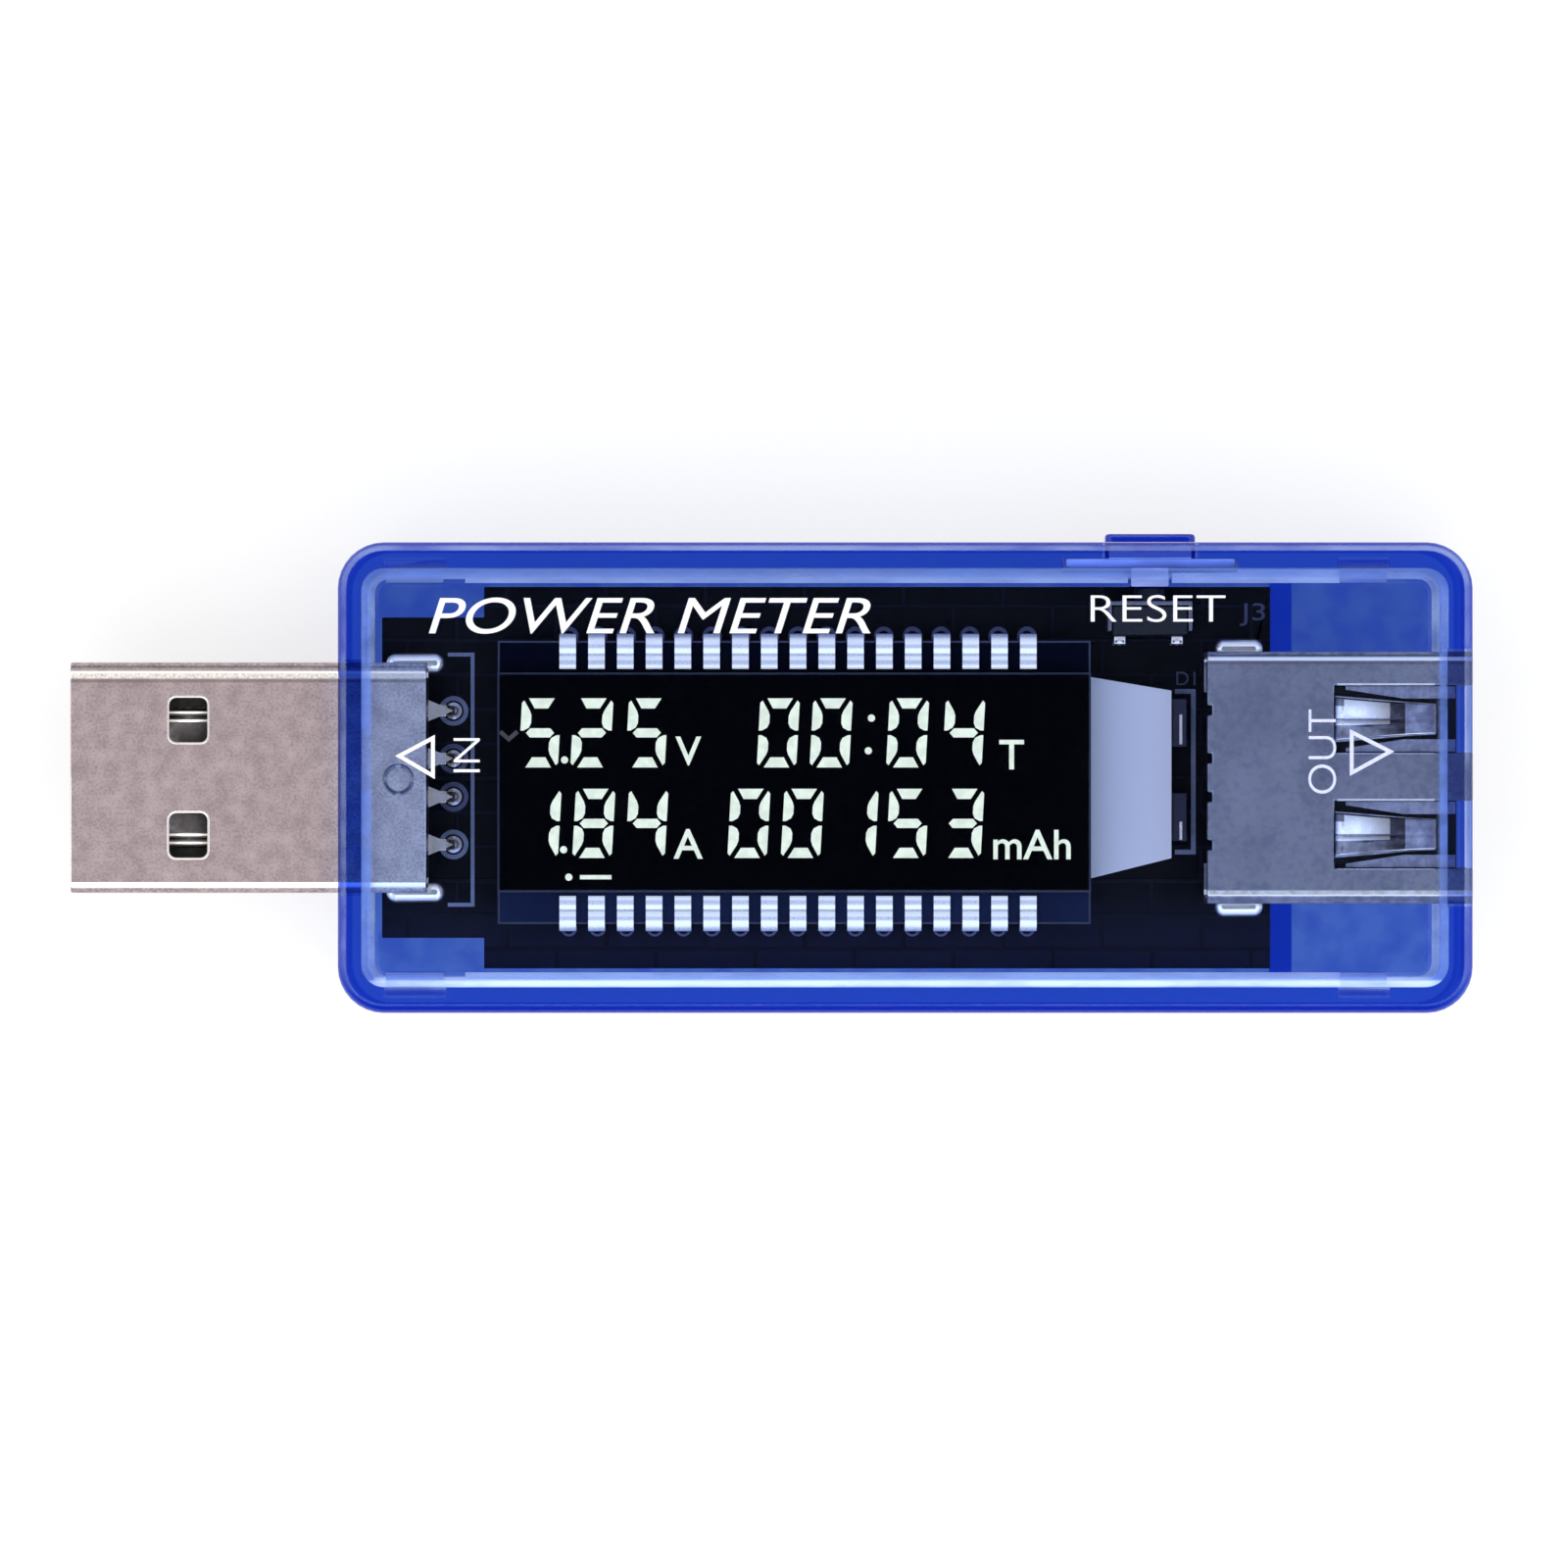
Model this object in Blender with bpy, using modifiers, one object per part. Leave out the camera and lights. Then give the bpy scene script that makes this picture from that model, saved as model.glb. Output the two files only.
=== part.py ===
"""USB power meter: a clear blue case between a USB-A plug and a USB-A socket, with a segment
display, its back light and its circuit board inside, and a reset button in one long side.

Frame: the origin is the middle of the case's flat back, +X points to the socket, +Y to the
side with the reset button, and +Z out of the display. Sizes are written in millimetres and
turned into metres by MM.
"""

import math

import bmesh
import bpy
from mathutils import Matrix, Vector

MM = 0.001

# Gaps between pieces.
FIT = 0.05 * MM  # between pieces that touch
SLIDE = 0.15 * MM  # round a piece that passes through the case
PAST = 1.0 * MM  # how far a cutter reaches past the piece that it cuts

# Case: two shells that meet at a parting plane.
CASE_LENGTH = 58.8 * MM
CASE_WIDTH = 24.4 * MM
CASE_HEIGHT = 12.0 * MM
CASE_CORNER = 2.4 * MM  # radius of the corners in plan
CASE_EDGE = 0.5 * MM  # rounding round both faces
CAVITY_CORNER = 1.2 * MM
CAVITY_EDGE = 0.7 * MM
END_WALL = 1.15 * MM
SIDE_WALL = 1.3 * MM
FACE_WALL = 1.4 * MM
PARTING_Z = 6.3 * MM
END_X = CASE_LENGTH / 2
SIDE_Y = CASE_WIDTH / 2
INNER_Y = SIDE_Y - SIDE_WALL

# Circuit board: wide under the display, with a narrower tongue under the plug.
BOARD_LOW = 3.1 * MM
BOARD_THICKNESS = 1.2 * MM
BOARD_TOP = BOARD_LOW + BOARD_THICKNESS
BOARD_LEFT = -27.35 * MM
BOARD_RIGHT = 19.2 * MM
BOARD_HALF_WIDTH = 10.0 * MM
BOARD_TONGUE_X = -22.0 * MM
BOARD_TONGUE_HALF_WIDTH = 8.4 * MM
ON_BOARD = BOARD_TOP + FIT
UNDER_BOARD = BOARD_LOW - FIT
LEAD_END = BOARD_LOW - 0.7 * MM  # how low the soldered leads reach

# Locating lips, snap tabs and board posts of the bottom shell.
LIP_X = (-22.9 * MM, 22.7 * MM)
LIP_Y = (10.15 * MM, 10.86 * MM)
LIP_TOP = 7.4 * MM
TAB_FOOT = PARTING_Z - 2.0 * MM
TAB_TOP = 8.5 * MM
TAB_HOOK = 0.5 * MM
TAB_HOOK_Z = (7.7 * MM, 8.3 * MM)
TABS = ((-25.5 * MM, 3.0 * MM), (23.9 * MM, 2.4 * MM))  # middle and length of each snap tab
POST_HALF_WIDTH = 0.6 * MM
POSTS = ((-24.6, 7.5), (-10.0, 9.1), (6.0, 9.1), (17.4, 8.9))  # middles in mm, X and Y

# USB-A connectors, in the standard's sizes.
SHEET = 0.3 * MM
CONTACT_Y = (3.5 * MM, 1.0 * MM, -1.0 * MM, -3.5 * MM)
CONTACT_WIDTH = 0.95 * MM
CONTACT_THICKNESS = 0.2 * MM
TAIL_SHARE = 0.5  # a contact's soldered tail is this much of its width
LEG_TOP = ON_BOARD + 1.5 * MM  # where the legs join the shells' sides

PLUG_WIDTH = 12.0 * MM
PLUG_HEIGHT = 4.5 * MM
PLUG_CORNER = 0.6 * MM
PLUG_TIP = -43.4 * MM
PLUG_REAR = -24.9 * MM
PLUG_LOW = ON_BOARD
PLUG_HIGH = PLUG_LOW + PLUG_HEIGHT
PLUG_LEG_X = (-26.6 * MM, -25.2 * MM)
PLUG_TAIL_X = -23.6 * MM
PLUG_BLOCK_X = -31.6 * MM  # where the insulator's tongue meets its solid rear block
PLUG_TONGUE_TIP = PLUG_TIP + 0.5 * MM
PLUG_TONGUE_HIGH = PLUG_LOW + SHEET + FIT + 1.9 * MM
PLUG_CONTACT_TIP = PLUG_TIP + 1.2 * MM
PLUG_CONTACT_Z = PLUG_TONGUE_HIGH - CONTACT_THICKNESS / 2
WINDOW_X = -37.27 * MM
WINDOW_Y = 3.0 * MM
WINDOW_SIZE = (2.1 * MM, 2.45 * MM)
WINDOW_CORNER = 0.4 * MM
ROUND_HOLE = (-26.35 * MM, -0.1 * MM)
ROUND_HOLE_RADIUS = 0.75 * MM

SOCKET_WIDTH = 13.1 * MM
SOCKET_HEIGHT = 5.72 * MM
SOCKET_CORNER = 0.5 * MM
SOCKET_REAR = 15.7 * MM
SOCKET_MOUTH = 29.5 * MM
SOCKET_LOW = ON_BOARD
SOCKET_HIGH = SOCKET_LOW + SOCKET_HEIGHT
SOCKET_LEG_X = (16.6 * MM, 18.3 * MM)
SOCKET_TAIL_X = 16.6 * MM
SOCKET_BLOCK_X = (17.3 * MM, 20.2 * MM)
SOCKET_TONGUE_TIP = SOCKET_MOUTH - 0.8 * MM
SOCKET_TONGUE_HALF_WIDTH = 5.55 * MM
SOCKET_TONGUE_HIGH = SOCKET_HIGH - SHEET - 0.7 * MM
SOCKET_TONGUE_LOW = SOCKET_TONGUE_HIGH - 1.84 * MM
SOCKET_CONTACT_Z = SOCKET_TONGUE_LOW + CONTACT_THICKNESS / 2
SOCKET_CONTACT_TIP = SOCKET_TONGUE_TIP - 0.6 * MM
SOCKET_CONTACT_BOW = 0.25 * MM  # how far a contact stands out to touch the plug
SOCKET_BOW_BACK = 2.6 * MM  # from a contact's tip to the middle of its bow
SOCKET_BOW_HALF = 1.2 * MM
REAR_NOTCH = (0.25 * MM, 0.5 * MM)  # depth and width of the notches over the contacts

# Spring tongues, cut from the socket's shell and bent inwards.
SPRING_Y = (3.05 * MM, -2.95 * MM)
SPRING_SLOT = 3.5 * MM
SPRING_WIDTH = 2.5 * MM
SPRING_TIP_SHARE = 0.66
SPRING_ROOT_X = 22.3 * MM
SPRING_CREST_X = 26.2 * MM
SPRING_TIP_X = 27.6 * MM
SPRING_DEPTH = 0.7 * MM

# Display: the glasses lie over the light guide, and pins clip on the wider rear glass.
DISPLAY_Y = -0.25 * MM
DISPLAY_X = (-21.2 * MM, 9.7 * MM)
POLARISER_INSET = 0.1 * MM
FRONT_GLASS_HALF_WIDTH = 5.72 * MM
REAR_GLASS_HALF_WIDTH = 7.38 * MM
GLASS = 0.7 * MM
POLARISER = 0.18 * MM
REFLECTOR = 0.15 * MM
LIGHT_GUIDE = 2.2 * MM
LIGHT_GUIDE_LEFT = -20.6 * MM
LIGHT_GUIDE_HALF_WIDTH = 5.6 * MM
WEDGE_END = 13.95 * MM
WEDGE_START_Y = (-5.26 * MM, 5.26 * MM)
WEDGE_END_Y = (-4.2 * MM, 4.55 * MM)
LAYER_GAP = 0.04 * MM
REFLECTOR_LOW = ON_BOARD
GUIDE_LOW = REFLECTOR_LOW + REFLECTOR + LAYER_GAP
REAR_POLARISER_LOW = GUIDE_LOW + LIGHT_GUIDE + LAYER_GAP
REAR_GLASS_LOW = REAR_POLARISER_LOW + POLARISER + LAYER_GAP
REAR_GLASS_HIGH = REAR_GLASS_LOW + GLASS
FRONT_GLASS_LOW = REAR_GLASS_HIGH + LAYER_GAP
FRONT_POLARISER_LOW = FRONT_GLASS_LOW + GLASS + LAYER_GAP

# Display pins. Their Y is measured from the display's middle line.
PIN_COUNT = 17
PIN_PITCH = 1.5 * MM
PIN_FIRST_X = -17.55 * MM
PIN_LAST_X = PIN_FIRST_X + (PIN_COUNT - 1) * PIN_PITCH
PIN_CLIP_WIDTH = 0.85 * MM
PIN_LEG_WIDTH = 0.5 * MM
PIN_SHEET = 0.22 * MM
PIN_TIP_Y = 5.97 * MM
PIN_LOWER_JAW_Y = 6.55 * MM
PIN_OUTER_Y = 7.76 * MM

# Back light: two LEDs that fire into the end of the light guide.
LED_SIZE = (0.75 * MM, 2.5 * MM, 1.0 * MM)
LED_X = 14.05 * MM
LED_Y = (2.87 * MM, -2.05 * MM)
LED_RIM = 0.2 * MM

# Reset button and the tact switch behind it, on one axis along Y.
BUTTON_X = 12.8 * MM
BUTTON_Z = 6.3 * MM
CAP_SIZE = (4.7 * MM, 3.3 * MM)  # along X and Z, as are the next two
FLANGE_SIZE = (8.8 * MM, 4.4 * MM)
STEM_SIZE = (2.0 * MM, 2.0 * MM)
CAP_FACE_Y = 12.7 * MM
CAP_CORNER = 0.35 * MM
CAP_EDGE = 0.18 * MM
FLANGE_Y = (10.95 * MM, 11.4 * MM)
BUTTON_TRAVEL = 0.25 * MM
STEM_END_Y = 9.95 * MM
SWITCH_WIDTH = 3.9 * MM
SWITCH_HEIGHT = 3.5 * MM
SWITCH_Y = (7.45 * MM, 8.95 * MM)
SWITCH_TOP = ON_BOARD + SWITCH_HEIGHT
SWITCH_SHEET = 0.2 * MM
SWITCH_BORE_RADIUS = 1.55 * MM
SWITCH_BORE_Y = 7.8 * MM  # bottom of the round cavity that holds the dome
DOME_SHEET = 0.08 * MM
DOME_RISE = 0.26 * MM
DOME_RADIUS = SWITCH_BORE_RADIUS - 2 * FIT
DOME_STEPS = 5
PLUNGER_RADIUS = 0.8 * MM
PLUNGER_COLLAR_RADIUS = 1.3 * MM
PLUNGER_COLLAR = 0.4 * MM
TERMINAL_X = (BUTTON_X - 1.5 * MM, BUTTON_X + 1.5 * MM)
TERMINAL_Y = 7.1 * MM
TERMINAL_Z = ON_BOARD + 0.4 * MM
TERMINAL_HALF_WIDTH = 0.3 * MM

# Parts on the back of the board. Positions and sizes are in mm.
CHIPS = (  # name, middle, size, leads a side, lead pitch
    ("microcontroller", (-4.0, 0.2), (6.5, 4.4, 1.0), 10, 0.65),
    ("memory_chip", (-13.8, -3.2), (4.9, 3.9, 1.35), 4, 1.27),
    ("voltage_regulator", (5.8, 2.8), (2.9, 1.6, 1.1), 3, 0.95),
)
TWO_ENDED = (  # name, middle, size, material
    ("current_shunt", (12.6, -4.4), (6.3, 3.2, 0.6), "ceramic"),
    ("buffer_capacitor", (11.2, 2.9), (3.2, 1.6, 1.2), "ceramic"),
    ("input_capacitor", (-19.2, 0.0), (2.0, 1.25, 0.85), "ceramic"),
    ("pull_up_resistor", (3.4, -4.2), (2.0, 1.25, 0.55), "ceramic"),
    ("led_resistor", (7.0, -1.6), (2.0, 1.25, 0.55), "ceramic"),
)
CRYSTAL_MIDDLE = (-14.5, 3.6)
CRYSTAL_SIZE = (5.0, 3.2, 1.1)
CRYSTAL_CORNER = 0.5 * MM
CHIP_STANDOFF = 0.1 * MM
LEAD_SHEET = 0.15 * MM
LEAD_REACH = 0.9 * MM  # how far a lead's foot reaches from the chip's side
LEAD_SHARE = 0.48  # a chip lead's width, as a share of its pitch
END_CAP_SHARE = 0.2  # a metal end cap's length, as a share of the part's
END_CAP_STEP = 0.05 * MM

CORNER_SEGMENTS = 8
EDGE_SEGMENTS = 4
ROUND_SIDES = 20
SHARP_ANGLE = math.radians(35)
TOLERANCE = MM / 100  # two coordinates closer than this are the same
FACES_ENDWAYS = 0.9  # a face that looks along X has at least this much of its normal there

COLOURS = {  # name: colour, roughness, metallic, alpha
    "blue_plastic": ((0.03, 0.10, 0.62), 0.12, 0.0, 0.45),
    "nickel": ((0.66, 0.62, 0.61), 0.28, 1.0, 1.0),
    "gold": ((0.83, 0.62, 0.28), 0.3, 1.0, 1.0),
    "tin": ((0.75, 0.75, 0.78), 0.3, 1.0, 1.0),
    "steel": ((0.62, 0.62, 0.64), 0.35, 1.0, 1.0),
    "black_plastic": ((0.02, 0.02, 0.022), 0.45, 0.0, 1.0),
    "white_plastic": ((0.8, 0.8, 0.78), 0.5, 0.0, 1.0),
    "board": ((0.012, 0.012, 0.014), 0.35, 0.0, 1.0),
    "glass": ((0.85, 0.9, 0.95), 0.03, 0.0, 0.35),
    "polariser": ((0.01, 0.01, 0.014), 0.15, 0.0, 1.0),
    "acrylic": ((0.80, 0.84, 0.95), 0.25, 0.0, 0.7),
    "ceramic": ((0.45, 0.33, 0.22), 0.5, 0.0, 1.0),
}


# Scene and material helpers.


def clear_scene():
    for obj in list(bpy.data.objects):
        bpy.data.objects.remove(obj, do_unlink=True)


def new_collection(name):
    collection = bpy.data.collections.new(name)
    bpy.context.scene.collection.children.link(collection)
    return collection


def make_materials():
    made = {}
    for name, (colour, roughness, metallic, alpha) in COLOURS.items():
        material = bpy.data.materials.new(name)
        material.use_nodes = True
        shader = material.node_tree.nodes["Principled BSDF"]
        shader.inputs["Base Color"].default_value = (*colour, 1.0)
        shader.inputs["Roughness"].default_value = roughness
        shader.inputs["Metallic"].default_value = metallic
        shader.inputs["Alpha"].default_value = alpha
        made[name] = material
    return made


clear_scene()
PARTS = new_collection("usb_power_meter")
CUTTERS = new_collection("cutters")
MATERIALS = make_materials()


def add_object(name, shape, collection, origin):
    """Turns a bmesh drawn in world space into an object whose origin is at origin."""
    origin = Vector(origin)
    bmesh.ops.recalc_face_normals(shape, faces=shape.faces)
    bmesh.ops.translate(shape, vec=-origin, verts=shape.verts)
    mesh = bpy.data.meshes.new(name)
    shape.to_mesh(mesh)
    shape.free()
    obj = bpy.data.objects.new(name, mesh)
    obj.location = origin
    collection.objects.link(obj)
    return obj


def add_part(name, shape, material, origin=(0, 0, 0), smooth=False):
    obj = add_object(name, shape, PARTS, origin)
    obj.data.materials.append(MATERIALS[material])
    if smooth:
        obj.data.shade_smooth()
        obj.data.set_sharp_from_angle(angle=SHARP_ANGLE)
    return obj


def add_helper(name, shape):
    """A body that others are cut by or joined with, and that is not a piece itself."""
    obj = add_object(name, shape, CUTTERS, (0, 0, 0))
    obj.hide_render = True
    obj.display_type = "WIRE"
    return obj


def combine(obj, helper, operation):
    modifier = obj.modifiers.new(f"{operation.lower()}_{helper.name}", "BOOLEAN")
    modifier.operation = operation
    modifier.solver = "EXACT"
    modifier.object = helper


# Shape helpers. Each adds to a bmesh.


def add_box(shape, low, high):
    low = Vector(low)
    high = Vector(high)
    matrix = Matrix.Translation((low + high) / 2) @ Matrix.Diagonal((*(high - low), 1.0))
    return bmesh.ops.create_cube(shape, size=1.0, matrix=matrix)["verts"]


def add_mirrored_boxes(shape, low, high):
    """The same box on both long sides."""
    add_box(shape, low, high)
    add_box(shape, (low[0], -high[1], low[2]), (high[0], -low[1], high[2]))


def add_middle_box(shape, middle, size):
    half = Vector(size) / 2
    return add_box(shape, Vector(middle) - half, Vector(middle) + half)


def bevel(shape, edges, radius, segments):
    bmesh.ops.bevel(
        shape, geom=edges, offset=radius, segments=segments, profile=0.5, affect="EDGES"
    )


def add_rounded_box(shape, low, high, radius, axis, segments=EDGE_SEGMENTS):
    """A box whose four edges along one axis (0, 1 or 2) are rounded."""
    verts = add_box(shape, low, high)
    edges = {edge for vert in verts for edge in vert.link_edges}
    along = [e for e in edges if abs((e.verts[0].co - e.verts[1].co)[axis]) > TOLERANCE]
    bevel(shape, along, radius, segments)


def edges_at(shape, axis, level):
    """The edges that lie in one plane across an axis."""
    return [
        edge
        for edge in shape.edges
        if all(abs(vert.co[axis] - level) < TOLERANCE for vert in edge.verts)
    ]


def add_prism(shape, outline, low, high, axis):
    """A flat outline, extruded from low to high along one axis. The outline's two
    coordinates are the other two axes in X, Y, Z order."""
    corners = []
    for first, second in outline:
        corner = [first, second]
        corner.insert(axis, low)
        corners.append(shape.verts.new(corner))
    face = shape.faces.new(corners)
    moved = bmesh.ops.extrude_face_region(shape, geom=[face])["geom"]
    step = Vector((0, 0, 0))
    step[axis] = high - low
    top = [item for item in moved if isinstance(item, bmesh.types.BMVert)]
    bmesh.ops.translate(shape, vec=step, verts=top)
    return corners + top


def add_rod(shape, middle, radius, low, high, axis):
    """A round bar along one axis; middle gives the other two coordinates."""
    angles = [2 * math.pi * step / ROUND_SIDES for step in range(ROUND_SIDES)]
    outline = [
        (middle[0] + radius * math.cos(angle), middle[1] + radius * math.sin(angle))
        for angle in angles
    ]
    return add_prism(shape, outline, low, high, axis)


def ribbon(points, thickness):
    """The outline of a bent strip that follows a centre line."""
    points = [Vector(point) for point in points]
    last = len(points) - 1
    left = []
    right = []
    for index, point in enumerate(points):
        before = (points[max(index, 1)] - points[max(index, 1) - 1]).orthogonal().normalized()
        after = (points[min(index, last - 1) + 1] - points[min(index, last - 1)]).orthogonal()
        after.normalize()
        mitre = (before + after).normalized()
        reach = thickness / 2 / mitre.dot(before)
        left.append(point + mitre * reach)
        right.append(point - mitre * reach)
    return [tuple(point) for point in left + right[::-1]]


def narrow(verts, start_x, end_x, share, middle_y):
    """Narrows a strip across Y, from its full width at start_x to share of it at end_x."""
    for vert in verts:
        along = min(max((vert.co.x - start_x) / (end_x - start_x), 0.0), 1.0)
        vert.co.y = middle_y + (vert.co.y - middle_y) * (1 - along * (1 - share))


# Case.


def rounded_block(outer_z, inner_z, half_x, half_y, corner, edge):
    """A block that is rounded at its corners in plan and round its rim at outer_z."""
    shape = bmesh.new()
    low = (-half_x, -half_y, min(outer_z, inner_z))
    high = (half_x, half_y, max(outer_z, inner_z))
    add_rounded_box(shape, low, high, corner, axis=2, segments=CORNER_SEGMENTS)
    bevel(shape, edges_at(shape, 2, outer_z), edge, EDGE_SEGMENTS)
    return shape


def case_half(name, outer_z, inner_z):
    """One shell: a rounded block, hollowed from its parting plane."""
    inwards = 1 if inner_z > outer_z else -1
    block = rounded_block(outer_z, inner_z, END_X, SIDE_Y, CASE_CORNER, CASE_EDGE)
    shell = add_part(name, block, "blue_plastic", origin=(0, 0, outer_z), smooth=True)
    cavity = rounded_block(
        outer_z + inwards * FACE_WALL,
        inner_z + inwards * PAST,
        END_X - END_WALL,
        INNER_Y,
        CAVITY_CORNER,
        CAVITY_EDGE,
    )
    combine(shell, add_helper(f"{name}_cavity", cavity), "DIFFERENCE")
    return shell


def end_openings():
    """The holes in the end walls that the plug and the socket pass through."""
    shape = bmesh.new()
    inner_x = END_X - 2 * END_WALL
    plug_half = PLUG_WIDTH / 2 + SLIDE
    add_box(
        shape,
        (-END_X - PAST, -plug_half, PLUG_LOW - SLIDE),
        (-inner_x, plug_half, PLUG_HIGH + SLIDE),
    )
    socket_half = SOCKET_WIDTH / 2 + SLIDE
    add_box(
        shape,
        (inner_x, -socket_half, SOCKET_LOW - SLIDE),
        (END_X + PAST, socket_half, SOCKET_HIGH + SLIDE),
    )
    return add_helper("end_openings", shape)


def button_box(size, low_y, high_y, clearance=0.0):
    """A box round the button's axis; size is its width and height."""
    shape = bmesh.new()
    half_x = size[0] / 2 + clearance
    half_z = size[1] / 2 + clearance
    low = (BUTTON_X - half_x, low_y, BUTTON_Z - half_z)
    high = (BUTTON_X + half_x, high_y, BUTTON_Z + half_z)
    add_box(shape, low, high)
    return shape


def button_openings():
    """The stepped hole through the side wall for the cap, the flange and the stem."""
    pressed_y = FLANGE_Y[0] - BUTTON_TRAVEL
    flange = button_box(FLANGE_SIZE, pressed_y - FIT / 2, FLANGE_Y[1] + FIT, SLIDE)
    cap = button_box(CAP_SIZE, FLANGE_Y[0], CAP_FACE_Y + PAST, SLIDE)
    stem = button_box(STEM_SIZE, LIP_Y[0] - SLIDE, FLANGE_Y[0], SLIDE)
    return (
        add_helper("flange_pocket", flange),
        add_helper("cap_opening", cap),
        add_helper("stem_opening", stem),
    )


def lips():
    """Strips inside the long walls that locate the top cover, and the feet that hold them."""
    strips = bmesh.new()
    add_mirrored_boxes(strips, (LIP_X[0], LIP_Y[0], BOARD_LOW), (LIP_X[1], LIP_Y[1], LIP_TOP))
    feet = bmesh.new()
    foot_low = (LIP_X[0], LIP_Y[0] + FIT, BOARD_TOP)
    foot_high = (LIP_X[1], INNER_Y + SIDE_WALL / 2, PARTING_Z - SLIDE)
    add_mirrored_boxes(feet, foot_low, foot_high)
    return add_helper("lip_strips", strips), add_helper("lip_feet", feet)


def snap_tabs():
    """Tabs that reach up from the bottom shell, each with a hook for the top cover."""
    low_y, high_y = LIP_Y
    root_y = INNER_Y + SIDE_WALL / 2
    foot_high = PARTING_Z - SLIDE
    outline = (
        (low_y, TAB_FOOT),
        (root_y, TAB_FOOT),
        (root_y, foot_high),
        (high_y, foot_high),
        (high_y, TAB_HOOK_Z[0]),
        (high_y + TAB_HOOK, TAB_HOOK_Z[0]),
        (high_y + TAB_HOOK, TAB_HOOK_Z[0] + SLIDE),
        (high_y, TAB_HOOK_Z[1]),
        (high_y, TAB_TOP),
        (low_y, TAB_TOP),
    )
    shape = bmesh.new()
    for middle, length in TABS:
        for side in (1, -1):
            sided = [(side * y, z) for y, z in outline]
            add_prism(shape, sided, middle - length / 2, middle + length / 2, axis=0)
    return add_helper("snap_tabs", shape)


def snap_pockets():
    shape = bmesh.new()
    low_z = TAB_HOOK_Z[0] - SLIDE
    for middle, length in TABS:
        half = length / 2 + SLIDE
        add_mirrored_boxes(
            shape,
            (middle - half, INNER_Y - SLIDE, low_z),
            (middle + half, LIP_Y[1] + TAB_HOOK + SLIDE, TAB_TOP + SLIDE),
        )
    return add_helper("snap_pockets", shape)


def board_posts():
    shape = bmesh.new()
    for x, y in POSTS:
        low = (x * MM - POST_HALF_WIDTH, y * MM - POST_HALF_WIDTH, FACE_WALL / 2)
        high = (x * MM + POST_HALF_WIDTH, y * MM + POST_HALF_WIDTH, UNDER_BOARD)
        add_mirrored_boxes(shape, low, high)
    return add_helper("board_posts", shape)


def build_case():
    bottom = case_half("bottom_shell", 0.0, PARTING_Z - FIT / 2)
    top = case_half("top_cover", CASE_HEIGHT, PARTING_Z + FIT / 2)
    for helper in (*lips(), snap_tabs(), board_posts()):
        combine(bottom, helper, "UNION")
    combine(top, snap_pockets(), "DIFFERENCE")
    openings = (end_openings(), *button_openings())
    for shell in (bottom, top):
        for helper in openings:
            combine(shell, helper, "DIFFERENCE")


# Reset button and switch.


def build_button():
    shape = bmesh.new()
    half_x = CAP_SIZE[0] / 2
    half_z = CAP_SIZE[1] / 2
    low = (BUTTON_X - half_x, FLANGE_Y[0] + FIT, BUTTON_Z - half_z)
    high = (BUTTON_X + half_x, CAP_FACE_Y, BUTTON_Z + half_z)
    add_rounded_box(shape, low, high, CAP_CORNER, axis=1)
    bevel(shape, edges_at(shape, 1, CAP_FACE_Y), CAP_EDGE, EDGE_SEGMENTS)
    origin = (BUTTON_X, FLANGE_Y[0], BUTTON_Z)
    button = add_part("reset_button", shape, "blue_plastic", origin, smooth=True)
    flange = button_box(FLANGE_SIZE, *FLANGE_Y)
    stem = button_box(STEM_SIZE, STEM_END_Y, FLANGE_Y[0] + FIT)
    combine(button, add_helper("button_flange", flange), "UNION")
    combine(button, add_helper("button_stem", stem), "UNION")


def build_switch_body():
    shape = bmesh.new()
    half = SWITCH_WIDTH / 2
    low = (BUTTON_X - half, SWITCH_Y[0], ON_BOARD)
    high = (BUTTON_X + half, SWITCH_Y[1], SWITCH_TOP)
    add_box(shape, low, high)
    origin = (BUTTON_X, SWITCH_Y[0], BUTTON_Z)
    body = add_part("reset_switch_body", shape, "black_plastic", origin)
    bore = bmesh.new()
    axis_point = (BUTTON_X, BUTTON_Z)
    add_rod(bore, axis_point, SWITCH_BORE_RADIUS, SWITCH_BORE_Y, SWITCH_Y[1] + PAST, axis=1)
    combine(body, add_helper("switch_bore", bore), "DIFFERENCE")


def build_switch_frame():
    """Sheet metal bent round the front and both sides of the switch's body."""
    front_y = SWITCH_Y[1] + FIT + SWITCH_SHEET / 2
    cheek = SWITCH_WIDTH / 2 + FIT + SWITCH_SHEET / 2
    rear_y = SWITCH_Y[0] + SWITCH_SHEET
    bend = (
        (BUTTON_X - cheek, rear_y),
        (BUTTON_X - cheek, front_y),
        (BUTTON_X + cheek, front_y),
        (BUTTON_X + cheek, rear_y),
    )
    shape = bmesh.new()
    add_prism(shape, ribbon(bend, SWITCH_SHEET), ON_BOARD, SWITCH_TOP, axis=2)
    frame = add_part("reset_switch_frame", shape, "steel", (BUTTON_X, front_y, BUTTON_Z))
    hole = bmesh.new()
    hole_radius = PLUNGER_RADIUS + 2 * FIT
    add_rod(hole, (BUTTON_X, BUTTON_Z), hole_radius, SWITCH_Y[1], front_y + PAST, axis=1)
    combine(frame, add_helper("frame_hole", hole), "DIFFERENCE")


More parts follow.
